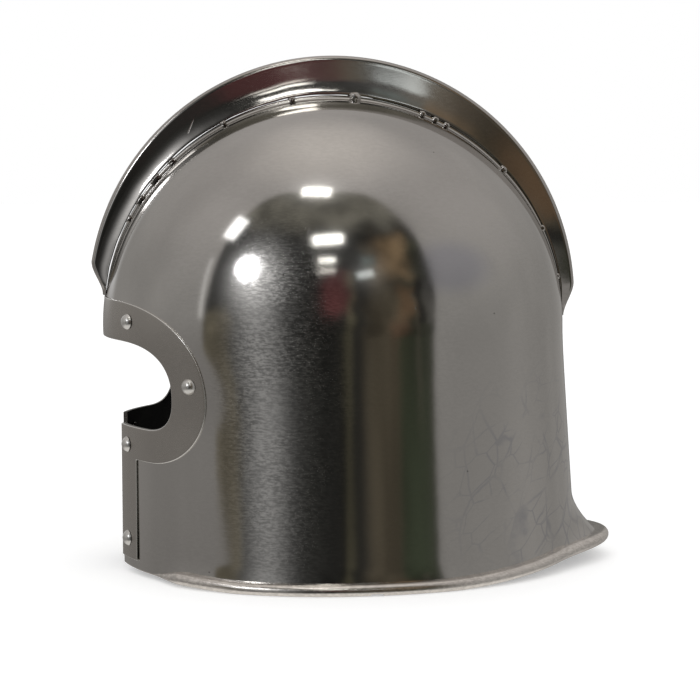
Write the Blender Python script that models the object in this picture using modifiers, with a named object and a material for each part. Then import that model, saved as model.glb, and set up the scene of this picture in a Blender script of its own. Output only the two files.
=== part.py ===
"""An Italian barbute in polished steel sheet, standing on its rolled rim.

The skull is one thin shell with a T-shaped face opening and a spread tail. A hollow folded comb is
welded along its middle, and a band riveted round the face opening stiffens the edge.

Metres, +Z up. The face looks along -Y and the wearer's left is +X. The helmet stands at z = 0. It is
built round the upright axis of the dome, and a parent empty then centres it on the origin.
"""

import math

import bmesh
import bpy
from mathutils import Matrix, Vector

MM = 0.001

# Sheet metal
SKULL_SHEET = 1.5 * MM
COMB_SHEET = 1.2 * MM
BAND_SHEET = 1.5 * MM
GAP = 0.3 * MM

# Skull: reaches are measured from the dome's upright axis, heights from the floor
HALF_WIDTH = 98.0 * MM
FRONT_REACH = 126.0 * MM
BACK_REACH = 129.3 * MM
DOME_LEVEL = 132.4 * MM
DOME_RISE = 123.7 * MM
CHEEK_LEVEL = 81.0 * MM
CHEEK_SET_BACK = 6.9 * MM
BACK_SPREAD = 9.8 * MM
BACK_SPREAD_EASE = 0.08

# Rim: a place on it is the cosine of its side angle, 0 at the side and 1 at the very front or back
ROLL_RADIUS = 2.8 * MM
ROLL_END_RADIUS = 0.5 * MM
ROLL_END_HEIGHT = 0.9 * MM
ROLL_WORN_FLAT = 0.5 * MM
ROLL_FADE_START = 0.70
ROLL_FADE_END = 0.84
RIM_FRONT_RISE = 3.7 * MM
RIM_FRONT_START = 0.45
RIM_FRONT_POWER = 1.1
RIM_BACK_RISE = 9.3 * MM
RIM_BACK_START = 0.35
RIM_BACK_POWER = 1.7
TAIL_HALF_ANGLE = math.radians(31.0)
SIDE_FLARE = 1.6 * MM
SIDE_FLARE_HEIGHT = 12.0 * MM
TAIL_FLARE = 16.3 * MM
TAIL_FLARE_HEIGHT = 28.0 * MM

# Raised middle of the skull, under the comb: angles turn from the front level over the crown
SEAM_HALF_WIDTH = 6.3 * MM
RIDGE_RISE = 4.0 * MM
RIDGE_FILLET = 8.0 * MM
RIDGE_START = math.radians(7.0)
RIDGE_END = math.radians(178.0)
RIDGE_POWER = 0.6

# Comb: its outer edge is the arc through three heights above the skull, in the middle plane
COMB_FRONT_HEIGHT = 10.3 * MM
COMB_CROWN_HEIGHT = 20.3 * MM
COMB_BACK_HEIGHT = 8.2 * MM
COMB_EDGE_RADIUS = 2.4 * MM
COMB_FLANK_POWER = 2.2
COMB_EDGE_ANGLES = (35.0, 65.0)
COMB_EDGE_MOST_OF_DEPTH = 0.6
COMB_EDGE_MOST_OF_WIDTH = 0.8
COMB_FRONT_FOOT = math.radians(7.6)
COMB_FRONT_CORNER = math.radians(15.2)
COMB_BACK_CORNER = math.radians(170.5)
COMB_BACK_FOOT = math.radians(178.4)
COMB_END_HEIGHT = 1.6 * MM
COMB_END_HALF_WIDTH = 3.2 * MM
COMB_END_SHEET_OF_DEPTH = 0.3

# Face opening
SLIT_HALF_WIDTH = 22.0 * MM
EYE_DEPTH = 37.0 * MM
EYE_LEVEL = 97.5 * MM
EYE_TOP = 127.6 * MM
EYE_BOTTOM = 81.0 * MM
EYE_TOP_ROUND = 29.5 * MM
EYE_BOTTOM_ROUND = 13.5 * MM
EYE_CORNER_POWER = 2.4

# Band: its widths beyond the eye openings and beside the slit
BAND_TEMPLE_WIDTH = 17.5 * MM
BAND_BROW_WIDTH = 21.2 * MM
BAND_CHEEK_WIDTH = 17.6 * MM
BAND_TOP_ROUND = 49.0 * MM
BAND_BOTTOM_ROUND = 29.0 * MM
BAND_CORNER_POWER = 2.0
STRIP_WIDTH = 19.3 * MM
STRIP_FOOT = 8.3 * MM

# Rivets: a height above the floor and a distance from the middle plane or ahead of the dome's axis
RIVET_HEAD_RADIUS = 4.25 * MM
RIVET_HEAD_HEIGHT = 2.9 * MM
RIVET_SHANK_RADIUS = 2.0 * MM
RIVET_TAIL_RADIUS = 3.2 * MM
RIVET_TAIL_TAPER = 0.85
RIVET_TAIL_HEIGHT = 1.2 * MM
RIVET_TAIL_GAP = 0.7 * MM
RIVET_SIDES = 10
RIVET_DOME_STEPS = 3
BROW_RIVET_ACROSS = 44.8 * MM
BROW_RIVET_DROP = 10.6 * MM
TEMPLE_RIVET_ABOVE = 9.2 * MM
CHEEK_RIVET_DROP = 10.4 * MM
CHIN_RIVET_RISE = 10.9 * MM

# How far ahead of the dome's axis the face opening ends
EYE_BACK = FRONT_REACH - EYE_DEPTH

# How finely the faceted surfaces are divided
DOME_STEPS = 20
SIDE_STEPS = 11
WALL_SHARES = (0.0, 0.04, 0.09, 0.16, 0.27, 0.42, 0.60, 0.80, 1.0)
FILLET_SHARES = (0.0, 0.3, 0.65, 1.0)
ROLL_STEPS = 17
OUTLINE_STEPS = 9
COMB_END_STEPS = 5
COMB_FLANK_SHARES = (0.0, 0.08, 0.24, 0.55, 1.0)
CUTTER_MARGIN = 20.0 * MM
BAND_MARGIN_ANGLE = math.radians(9.0)
MERGE_DISTANCE = 0.005 * MM
MODIFIER_MERGE = 0.01 * MM
SHARP_ANGLE = math.radians(40.0)


def smooth(share):
    """An even ramp from 0 to 1 that starts and ends level."""
    share = min(max(share, 0.0), 1.0)
    return share * share * (3.0 - 2.0 * share)


def mix(low, high, share):
    return low + (high - low) * share


def roll_fade(cosine, at_front):
    """1 where the rim is rolled, falling to 0 where the front edge is left plain."""
    if not at_front:
        return 1.0
    return 1.0 - smooth((cosine - ROLL_FADE_START) / (ROLL_FADE_END - ROLL_FADE_START))


def tail(cosine, at_front):
    """How much of the tail's spread there is at this place on the rim."""
    return 0.0 if at_front else smooth(1.0 - math.acos(min(cosine, 1.0)) / TAIL_HALF_ANGLE)


def rim_height(cosine, at_front):
    """The rim's lowest point above the floor. It lies flat along the sides and rises to both ends."""
    if at_front:
        start, rise, power = RIM_FRONT_START, RIM_FRONT_RISE, RIM_FRONT_POWER
    else:
        start, rise, power = RIM_BACK_START, RIM_BACK_RISE, RIM_BACK_POWER
    return rise * (max(cosine - start, 0.0) / (1.0 - start)) ** power


def roll_centre_height(cosine, at_front):
    fade = roll_fade(cosine, at_front)
    return rim_height(cosine, at_front) + mix(ROLL_END_HEIGHT, ROLL_RADIUS - ROLL_WORN_FLAT, fade)


def sheet_end_height(cosine, at_front):
    """The sheet ends inside the roll, or at the rim itself where there is no roll."""
    fade = roll_fade(cosine, at_front)
    return rim_height(cosine, at_front) + (ROLL_RADIUS - ROLL_WORN_FLAT) * fade


def wall_reach(height, at_front):
    """The upright wall's reach ahead of the dome's axis, or behind it."""
    drop = DOME_LEVEL - height
    if at_front:
        return FRONT_REACH - CHEEK_SET_BACK * smooth(drop / (DOME_LEVEL - CHEEK_LEVEL))
    share = drop / DOME_LEVEL
    return BACK_REACH + BACK_SPREAD * (math.hypot(share, BACK_SPREAD_EASE) - BACK_SPREAD_EASE)


def wall_point(side_angle, height, at_front):
    """A point on the outside of the upright wall. side_angle is 0 in the middle plane and a right angle beside it."""
    cosine = max(math.cos(side_angle), 0.0)
    reach = wall_reach(height, at_front)
    forward = -1.0 if at_front else 1.0
    point = Vector((HALF_WIDTH * math.sin(side_angle), forward * reach * cosine, height))
    outward = Vector((point.x / HALF_WIDTH**2, point.y / reach**2, 0.0)).normalized()
    spread = tail(cosine, at_front)
    flare = mix(SIDE_FLARE * roll_fade(cosine, at_front), TAIL_FLARE, spread)
    flare_height = mix(SIDE_FLARE_HEIGHT, TAIL_FLARE_HEIGHT, spread)
    above_rim = height - sheet_end_height(cosine, at_front)
    share = max(1.0 - above_rim / flare_height, 0.0)
    return point + outward * flare * share**2


def ridge_height(turn, across):
    """How far the skull's middle is raised at this turn over the crown and distance from the middle plane."""
    along = (turn - RIDGE_START) / (RIDGE_END - RIDGE_START)
    if not 0.0 < along < 1.0:
        return 0.0
    share = 1.0 - max(across - SEAM_HALF_WIDTH, 0.0) / RIDGE_FILLET
    return RIDGE_RISE * math.sin(math.pi * along) ** RIDGE_POWER * max(share, 0.0) ** 2


def dome_point(side_angle, turn):
    """A point on the outside of the dome. turn is 0 level in front, 90 degrees at the crown."""
    reach = FRONT_REACH if math.cos(turn) > 0.0 else BACK_REACH
    inward = math.cos(side_angle)
    across = HALF_WIDTH * math.sin(side_angle)
    level = Vector((0.0, -reach * math.cos(turn), DOME_RISE * math.sin(turn)))
    raised = level * inward + level.normalized() * ridge_height(turn, across)
    return Vector((across, raised.y, DOME_LEVEL + raised.z))


def front_point(across, height):
    """A point on the outside of the front, at this distance from the middle plane and this height."""
    side = math.asin(across / HALF_WIDTH)
    if height <= DOME_LEVEL:
        return wall_point(side, height, at_front=True)
    turn = math.asin((height - DOME_LEVEL) / (DOME_RISE * math.cos(side)))
    return dome_point(side, turn)


def front_normal(across, height):
    """The outward direction of the front there, from two short steps over the surface."""
    step = 1.0 * MM
    sideways = front_point(across + step, height) - front_point(across - step, height)
    upward = front_point(across, height + step) - front_point(across, height - step)
    return sideways.cross(upward).normalized()


def side_angles(first, last):
    """Side angles from the middle plane out: close together over the ridge, then even."""
    ridge = [math.asin((SEAM_HALF_WIDTH + RIDGE_FILLET * share) / HALF_WIDTH) for share in FILLET_SHARES]
    even = [mix(ridge[-1], math.pi / 2, step / SIDE_STEPS) for step in range(1, SIDE_STEPS + 1)]
    return [angle for angle in [0.0, *ridge, *even] if first <= angle <= last + 1e-9]


def dome_turns():
    return [math.pi * step / DOME_STEPS for step in range(DOME_STEPS + 1)]


def wall_rows(sides, at_front):
    """The wall's rows of points, from its lower edge to just below the dome."""
    rows = []
    for share in WALL_SHARES[:-1]:
        feet = [sheet_end_height(max(math.cos(side), 0.0), at_front) for side in sides]
        heights = [mix(foot, DOME_LEVEL, share) for foot in feet]
        rows.append([wall_point(side, height, at_front) for side, height in zip(sides, heights)])
    return rows


def dome_rows(sides, turns):
    return [[dome_point(side, turn) for side in sides] for turn in turns]


def collection_of(name):
    collection = bpy.data.collections.new(name)
    bpy.context.scene.collection.children.link(collection)
    return collection


def steel(name, colour, roughness):
    """A plain metal material."""
    material = bpy.data.materials.new(name)
    material.use_nodes = True
    shader = material.node_tree.nodes["Principled BSDF"]
    shader.inputs["Base Color"].default_value = (*colour, 1.0)
    shader.inputs["Roughness"].default_value = roughness
    shader.inputs["Metallic"].default_value = 1.0
    return material


def add_object(name, data, collection, material=None):
    obj = bpy.data.objects.new(name, data)
    collection.objects.link(obj)
    if material:
        data.materials.append(material)
    return obj


def add_cutter(name, data, cutters):
    """A helper that cuts other objects and isn't part of the helmet."""
    cutter = add_object(name, data, cutters)
    cutter.hide_render = True
    cutter.display_type = "WIRE"
    return cutter


def mesh_of(bm, name):
    mesh = bpy.data.meshes.new(name)
    bm.to_mesh(mesh)
    bm.free()
    return mesh


def finish_shading(mesh):
    mesh.shade_smooth()
    mesh.set_sharp_from_angle(angle=SHARP_ANGLE)


def sheet_mesh(name, rows):
    """An open surface through rows of points, as a grid bent to them, with its faces turned outward."""
    bm = bmesh.new()
    last_row = len(rows) - 1
    last_column = len(rows[0]) - 1
    bmesh.ops.create_grid(bm, x_segments=last_row, y_segments=last_column, size=1.0)
    for vert in bm.verts:
        row = round((vert.co.x + 1.0) / 2.0 * last_row)
        column = round((vert.co.y + 1.0) / 2.0 * last_column)
        vert.co = rows[row][column]
    bmesh.ops.remove_doubles(bm, verts=bm.verts, dist=MERGE_DISTANCE)
    bmesh.ops.recalc_face_normals(bm, faces=bm.faces)
    inside = Vector((0.0, 0.0, DOME_LEVEL))
    outward = sum(face.normal.dot(face.calc_center_median() - inside) for face in bm.faces)
    if outward < 0.0:
        bmesh.ops.reverse_faces(bm, faces=bm.faces)
    mesh = mesh_of(bm, name)
    finish_shading(mesh)
    return mesh


def add_mirror(obj):
    mirror = obj.modifiers.new("Mirror", "MIRROR")
    mirror.merge_threshold = MODIFIER_MERGE


def add_wall(obj, thickness, offset):
    """Gives a sheet its thickness, inward at offset -1 and outward at offset 1."""
    wall = obj.modifiers.new("Sheet", "SOLIDIFY")
    wall.thickness = thickness
    wall.offset = offset
    wall.use_even_offset = True
    return wall


def add_boolean(obj, operation, other):
    """Joins, cuts or keeps what the other object covers. The other can be a collection of cutters."""
    boolean = obj.modifiers.new(f"{operation.title()} {other.name}", "BOOLEAN")
    boolean.operation = operation
    boolean.solver = "EXACT"
    if isinstance(other, bpy.types.Collection):
        boolean.operand_type = "COLLECTION"
        boolean.collection = other
    else:
        boolean.object = other


def box_cutter(name, low, high, cutters):
    bm = bmesh.new()
    bmesh.ops.create_cube(bm, size=1.0)
    middle = (Vector(low) + Vector(high)) / 2
    size = Vector(high) - Vector(low)
    bmesh.ops.transform(bm, matrix=Matrix.LocRotScale(middle, None, size), verts=bm.verts)
    return add_cutter(name, mesh_of(bm, name), cutters)


def mesh_from_curve(curve_object, name):
    """The curve object's shape as a closed mesh, with its caps welded on. The curve is removed."""
    graph = bpy.context.evaluated_depsgraph_get()
    mesh = bpy.data.meshes.new_from_object(curve_object.evaluated_get(graph))
    mesh.name = name
    bm = bmesh.new()
    bm.from_mesh(mesh)
    bmesh.ops.remove_doubles(bm, verts=bm.verts, dist=MERGE_DISTANCE)
    bmesh.ops.recalc_face_normals(bm, faces=bm.faces)
    bm.to_mesh(mesh)
    bm.free()
    curve = curve_object.data
    bpy.data.objects.remove(curve_object)
    bpy.data.curves.remove(curve)
    return mesh


def poly_curve(name, dimensions, points, cyclic):
    """A curve of one straight-sided spline. Each point is x, y, z and the radius there."""
    curve = bpy.data.curves.new(name, "CURVE")
    curve.dimensions = dimensions
    spline = curve.splines.new("POLY")
    spline.points.add(len(points) - 1)
    for target, (x, y, z, radius) in zip(spline.points, points):
        target.co = (x, y, z, 1.0)
        target.radius = radius
    spline.use_cyclic_u = cyclic
    return curve


def side_prism(name, outline, half_length, cutters):
    """A side-view outline of (forward, up) points, extruded right across the helmet."""
    curve = poly_curve(name, "2D", [(y, z, 0.0, 1.0) for y, z in outline], cyclic=True)
    curve.fill_mode = "BOTH"
    curve.extrude = half_length
    flat = bpy.data.objects.new(name, curve)
    cutters.objects.link(flat)
    prism = add_cutter(name, mesh_from_curve(flat, name), cutters)
    side_view = Matrix(((0, 0, 1, 0), (1, 0, 0, 0), (0, 1, 0, 0), (0, 0, 0, 1)))
    prism.matrix_world = side_view
    return prism


def eye_outline(back, level, top, bottom, top_round, bottom_round, power):
    """The side view of the face opening or of the band's outer edge.

    It runs from the front along the top edge, round the back in two rounded quarters that meet level
    with the eye, and forward along the bottom edge.
    """

    def quarter(round_length, rise, angle):
        along = math.cos(angle) ** (2.0 / power)
        up = math.sin(angle) ** (2.0 / power)
        return (-back - round_length * (1.0 - along), level + rise * up)

    front = -(FRONT_REACH + CUTTER_MARGIN)
    steps = range(OUTLINE_STEPS + 1)
    angles = [math.pi / 2 * step / OUTLINE_STEPS for step in steps]
    upper = [quarter(top_round, top - level, angle) for angle in reversed(angles)]
    lower = [quarter(bottom_round, bottom - level, angle) for angle in angles[1:]]
    return [(front, top), *upper, *lower, (front, bottom)]


def face_cutters(cutters):
    """The two prisms that cut the eye openings and the slit below them."""
    outline = eye_outline(
        EYE_BACK, EYE_LEVEL, EYE_TOP, EYE_BOTTOM, EYE_TOP_ROUND, EYE_BOTTOM_ROUND, EYE_CORNER_POWER
    )
    eyes = side_prism("cut_eyes", outline, HALF_WIDTH + CUTTER_MARGIN, cutters)
    slit = box_cutter(
        "cut_slit",
        (-SLIT_HALF_WIDTH, -(FRONT_REACH + CUTTER_MARGIN), -CUTTER_MARGIN),
        (SLIT_HALF_WIDTH, -EYE_BACK, (EYE_BOTTOM + EYE_LEVEL) / 2),
        cutters,
    )
    return [eyes, slit]


def rim_roll_mesh():
    """The roll along the rim, from one front fade round the tail to the other."""
    first = math.acos(ROLL_FADE_END)
    places = [(mix(first, math.pi / 2, step / ROLL_STEPS), True) for step in range(ROLL_STEPS)]
    places += [(mix(math.pi / 2, 0.0, step / ROLL_STEPS), False) for step in range(ROLL_STEPS + 1)]
    half = []
    for side, at_front in places:
        cosine = max(math.cos(side), 0.0)
        fade = roll_fade(cosine, at_front)
        radius = mix(ROLL_END_RADIUS, ROLL_RADIUS, fade)
        foot = wall_point(side, sheet_end_height(cosine, at_front), at_front)
        reach = wall_reach(foot.z, at_front)
        outward = Vector((foot.x / HALF_WIDTH**2, foot.y / reach**2, 0.0)).normalized()
        centre = foot + outward * mix(-SKULL_SHEET / 2, ROLL_RADIUS - SKULL_SHEET, fade)
        centre.z = roll_centre_height(cosine, at_front)
        half.append((centre.x, centre.y, centre.z, radius))
    other_half = [(-x, y, z, radius) for x, y, z, radius in reversed(half[:-1])]
    curve = poly_curve("roll", "3D", half + other_half, cyclic=False)
    curve.bevel_depth = 1.0
    curve.bevel_resolution = 2
    curve.use_fill_caps = True
    tube = bpy.data.objects.new("roll", curve)
    bpy.context.scene.collection.objects.link(tube)
    return mesh_from_curve(tube, "roll")


def make_skull(helmet, cutters, openings, drills):
    """The shell: front wall, dome and back wall, its roll, the face opening and the rivet holes."""
    sides = side_angles(0.0, math.pi / 2)
    front = wall_rows(sides, at_front=True)
    back = wall_rows(sides, at_front=False)
    mesh = sheet_mesh("skull", [*front, *dome_rows(sides, dome_turns()), *reversed(back)])
    skull = add_object("skull", mesh, helmet, steel("polished_steel", (0.56, 0.55, 0.53), 0.16))
    add_mirror(skull)
    add_wall(skull, SKULL_SHEET, -1.0)
    add_boolean(skull, "UNION", add_cutter("roll", rim_roll_mesh(), cutters))
    for opening in openings:
        add_boolean(skull, "DIFFERENCE", opening)
    far = FRONT_REACH + BACK_REACH
    floor = box_cutter("cut_floor", (-far, -far, -CUTTER_MARGIN), (far, far, 0.0), cutters)
    add_boolean(skull, "DIFFERENCE", floor)
    add_boolean(skull, "DIFFERENCE", drills)
    return skull


def make_band(helmet, cutters, openings, drills):
    """The band round the face opening, a gap above the skull, with a strip down each side of the slit."""
    top = EYE_TOP + BAND_BROW_WIDTH
    bottom = EYE_BOTTOM - BAND_CHEEK_WIDTH
    band_back = EYE_BACK - BAND_TEMPLE_WIDTH
    outline = eye_outline(
        band_back, EYE_LEVEL, top, bottom, BAND_TOP_ROUND, BAND_BOTTOM_ROUND, BAND_CORNER_POWER
    )
    outer = side_prism("keep_band", outline, HALF_WIDTH + CUTTER_MARGIN, cutters)
    strip_half = SLIT_HALF_WIDTH + STRIP_WIDTH
    strips = box_cutter(
        "keep_strips",
        (-strip_half, -(FRONT_REACH + CUTTER_MARGIN), STRIP_FOOT),
        (strip_half, -EYE_BACK, (bottom + EYE_BOTTOM) / 2),
        cutters,
    )
    add_boolean(outer, "UNION", strips)
    sides = side_angles(0.0, math.acos(band_back / FRONT_REACH) + BAND_MARGIN_ANGLE)
    last_turn = 2.0 * math.asin((top - DOME_LEVEL) / DOME_RISE) + math.pi / DOME_STEPS
    turns = [turn for turn in dome_turns() if turn < last_turn]
    mesh = sheet_mesh("face_band", [*wall_rows(sides, at_front=True), *dome_rows(sides, turns)])
    band = add_object("face_band", mesh, helmet, steel("satin_steel", (0.42, 0.41, 0.40), 0.34))
    add_mirror(band)
    lift = band.modifiers.new("Lift", "DISPLACE")
    lift.strength = GAP
    lift.mid_level = 0.0
    add_wall(band, BAND_SHEET, 1.0)
    add_boolean(band, "INTERSECT", outer)
    for opening in openings:
        add_boolean(band, "DIFFERENCE", opening)
    add_boolean(band, "DIFFERENCE", drills)
    return band


def comb_ends(turn):
    """1 along the comb, easing to 0 at its front and back feet."""
    front = (turn - COMB_FRONT_FOOT) / (COMB_FRONT_CORNER - COMB_FRONT_FOOT)
    back = (COMB_BACK_FOOT - turn) / (COMB_BACK_FOOT - COMB_BACK_CORNER)
    return smooth(front) * smooth(back)


def comb_half_width(turn):
    return mix(COMB_END_HALF_WIDTH, SEAM_HALF_WIDTH, comb_ends(turn))


def comb_base(turn):
    """The comb's inner radius, a gap above the skull beside the middle plane."""
    beside = math.asin(max(comb_half_width(turn) - COMB_SHEET, 0.0) / HALF_WIDTH)
    seat = dome_point(beside, turn) - Vector((0.0, 0.0, DOME_LEVEL))
    return math.hypot(seat.y, seat.z) + GAP


def middle_direction(turn):
    """The (back, up) direction in the middle plane at this turn over the crown."""
    return Vector((-math.cos(turn), math.sin(turn)))


def comb_arc():
    """The (back, up) centre and the radius of the comb's outer edge, as the circle through its three heights."""
    places = (
        (COMB_FRONT_CORNER, COMB_FRONT_HEIGHT),
        (math.pi / 2, COMB_CROWN_HEIGHT),
        (COMB_BACK_CORNER, COMB_BACK_HEIGHT),
    )
    front, crown, back = (middle_direction(turn) * (comb_base(turn) + height) for turn, height in places)
    to_crown = crown - front
    to_back = back - front
    twice_area = 2.0 * to_crown.cross(to_back)
    step = to_back * to_crown.length_squared - to_crown * to_back.length_squared
    centre = front + Vector((-step.y, step.x)) / -twice_area
    return centre, (front - centre).length


def comb_section(turn, centre, radius):
    """Half of the folded sheet's outer section: (across, radius) from the weld line to the outer edge."""
    ease = comb_ends(turn)
    half_width = comb_half_width(turn)
    base = comb_base(turn)
    along = centre.dot(middle_direction(turn))
    arc = along + math.sqrt(radius**2 - centre.length_squared + along**2)
    top = base + mix(COMB_END_HEIGHT, arc - base, ease)
    edge = min(
        COMB_EDGE_RADIUS,
        COMB_EDGE_MOST_OF_DEPTH * (top - base),
        COMB_EDGE_MOST_OF_WIDTH * half_width,
    )
    section = []
    for share in COMB_FLANK_SHARES:
        rise = max(share - COMB_FLANK_SHARES[1], 0.0) / (1.0 - COMB_FLANK_SHARES[1])
        across = mix(edge, half_width, (1.0 - rise) ** COMB_FLANK_POWER)
        section.append((across, mix(base, top - edge, share)))
    for angle in COMB_EDGE_ANGLES:
        turned = math.radians(angle)
        section.append((edge * math.cos(turned), top - edge + edge * math.sin(turned)))
    return [*section, (0.0, top)]


def comb_turns():
    """Places along the comb: at the dome's own steps, and close together over its two ends."""
    steps = range(COMB_END_STEPS + 1)
    front = [mix(COMB_FRONT_FOOT, COMB_FRONT_CORNER, step / COMB_END_STEPS) for step in steps]
    back = [mix(COMB_BACK_CORNER, COMB_BACK_FOOT, step / COMB_END_STEPS) for step in steps]
    closest = math.radians(1)
    middle = [turn for turn in dome_turns() if front[-1] + closest < turn < back[0] - closest]
    return front + middle + back


def make_comb(helmet):
    """The hollow comb: a folded strip with a rounded outer edge and flanks that spread to the weld line."""
    rows = []
    depths = []
    centre, radius = comb_arc()
    for turn in comb_turns():
        section = comb_section(turn, centre, radius)
        rows.append([Vector((x, -r * math.cos(turn), DOME_LEVEL + r * math.sin(turn))) for x, r in section])
        depths.append(section[-1][1] - section[0][1])
    mesh = sheet_mesh("comb", rows)
    comb = add_object("comb", mesh, helmet, steel("comb_steel", (0.45, 0.43, 0.41), 0.22))
    add_mirror(comb)
    add_wall(comb, COMB_SHEET, -1.0)
    thin_ends(comb, min(depths))
    return comb


def thin_ends(comb, least_depth):
    """Thins the folded sheet towards its low ends, where its two flanks come together."""
    group = comb.vertex_groups.new(name="full_sheet")
    for vert in comb.data.vertices:
        turn = math.atan2(vert.co.z - DOME_LEVEL, -vert.co.y)
        group.add([vert.index], comb_ends(turn % (2 * math.pi)), "REPLACE")
    wall = comb.modifiers["Sheet"]
    wall.vertex_group = group.name
    wall.thickness_vertex_group = min(COMB_END_SHEET_OF_DEPTH * least_depth / COMB_SHEET, 1.0)


def rivet_mesh():
    """A dome-headed rivet's profile, to be turned about Z. Its head sits on z = 0."""
    grip = BAND_SHEET + SKULL_SHEET + 2.0 * GAP + RIVET_TAIL_GAP
    bulge = (RIVET_HEAD_RADIUS**2 + RIVET_HEAD_HEIGHT**2) / (2.0 * RIVET_HEAD_HEIGHT)
    half_angle = math.asin(RIVET_HEAD_RADIUS / bulge)
    profile = []
    for step in range(RIVET_DOME_STEPS + 1):
        angle = half_angle * step / RIVET_DOME_STEPS
        profile.append((bulge * math.sin(angle), RIVET_HEAD_HEIGHT - bulge * (1.0 - math.cos(angle))))
    profile += [
        (RIVET_SHANK_RADIUS, 0.0),
        (RIVET_SHANK_RADIUS, -grip),
        (RIVET_TAIL_RADIUS, -grip),
        (RIVET_TAIL_TAPER * RIVET_TAIL_RADIUS, -grip - RIVET_TAIL_HEIGHT),
        (0.0, -grip - RIVET_TAIL_HEIGHT),
    ]
    bm = bmesh.new()
    verts = [bm.verts.new((radius, 0.0, height)) for radius, height in profile]
    for upper, lower in zip(verts, verts[1:]):
        bm.edges.new((upper, lower))
    return mesh_of(bm, "rivet")


def rivet_places():
    """Each rivet's name, distance from the middle plane and height."""
    strip_middle = SLIT_HALF_WIDTH + STRIP_WIDTH / 2
    temple_height = EYE_LEVEL + TEMPLE_RIVET_ABOVE
    temple_reach = wall_reach(temple_height, at_front=True)
    temple_forward = EYE_BACK - BAND_TEMPLE_WIDTH / 2
    return [
        ("brow", BROW_RIVET_ACROSS, EYE_TOP + BAND_BROW_WIDTH - BROW_RIVET_DROP),
        ("temple", HALF_WIDTH * math.sqrt(1.0 - (temple_forward / temple_reach) ** 2), temple_height),
        ("cheek", strip_middle, EYE_BOTTOM - CHEEK_RIVET_DROP),
        ("chin", strip_middle, STRIP_FOOT + CHIN_RIVET_RISE),
    ]


def rivet_frame(across, height, side):
    """The rivet's place on the band and its turn, with its own Z along the outward direction."""
    lift = BAND_SHEET + 2.0 * GAP
    normal = front_normal(across, height)
    place = front_point(across, height) + normal * lift
    normal.x *= side
    place.x *= side
    return place, normal.to_track_quat("Z", "Y")


def make_rivets(helmet, drills):
    """Four rivets on each side, and a hole for each through the band and the skull."""
    mesh = rivet_mesh()
    finish = steel("rivet_steel", (0.62, 0.61, 0.59), 0.18)
    mesh.materials.append(finish)
    rivets = []
    for name, across, height in rivet_places():
        for side, side_name in ((1, "left"), (-1, "right")):
            place, turned = rivet_frame(across, height, side)
            rivet = add_object(f"rivet_{name}_{side_name}", mesh, helmet)
            rivet.location = place
            rivet.rotation_mode = "QUATERNION"
            rivet.rotation_quaternion = turned
            screw = rivet.modifiers.new("Turn", "SCREW")
            screw.steps = RIVET_SIDES
            screw.render_steps = RIVET_SIDES
            screw.use_merge_vertices = True
            screw.merge_threshold = MODIFIER_MERGE
            rivets.append(rivet)
            add_drill(name, side_name, place, turned, drills)
    return rivets


def add_drill(name, side_name, place, turned, drills):
    """The cutter for one rivet's hole, as deep as both sheets."""
    bm = bmesh.new()
    bmesh.ops.create_cone(
        bm,
        cap_ends=True,
        segments=RIVET_SIDES,
        radius1=RIVET_SHANK_RADIUS + GAP,
        radius2=RIVET_SHANK_RADIUS + GAP,
        depth=2.0 * CUTTER_MARGIN,
    )
    drill = add_cutter(f"drill_{name}_{side_name}", mesh_of(bm, "drill"), drills)
    drill.location = place
    drill.rotation_mode = "QUATERNION"
    drill.rotation_quaternion = turned


def centre_on_origin(pieces):
    """Hangs the pieces on an empty that puts the middle of their length on the origin."""
    bpy.context.view_layer.update()
    graph = bpy.context.evaluated_depsgraph_get()
    lengthwise = []
    for piece in pieces:
        evaluated = piece.evaluated_get(graph)
        lengthwise += [(evaluated.matrix_world @ Vector(corner)).y for corner in evaluated.bound_box]
    frame = bpy.data.objects.new("barbute", None)
    bpy.context.scene.collection.objects.link(frame)
    frame.location.y = -(min(lengthwise) + max(lengthwise)) / 2
    return frame


def main():
    for obj in list(bpy.data.objects):
        bpy.data.objects.remove(obj)
    helmet = collection_of("barbute")
    cutters = collection_of("cutters")
    drills = collection_of("drills")
    rivets = make_rivets(helmet, drills)
    openings = face_cutters(cutters)
    skull = make_skull(helmet, cutters, openings, drills)
    band = make_band(helmet, cutters, openings, drills)
    comb = make_comb(helmet)
    pieces = [skull, band, comb, *rivets]
    frame = centre_on_origin(pieces)
    for obj in [*pieces, *cutters.objects, *drills.objects]:
        obj.parent = frame


if __name__ == "__main__":
    main()
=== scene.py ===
"""The looks of a polished steel barbute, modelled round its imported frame.

Each class is one sub-assembly or one part of the studio. Sizes are fields in metres, +Z is up, the face
looks along -Y and the wearer's left is +X. Angles called turns run over the crown, from the front level.
"""

import logging
import math
from dataclasses import dataclass, field
from enum import Enum
from typing import Callable, Optional, Sequence, Union

import bpy
from mathutils import Euler, Matrix, Vector

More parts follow.
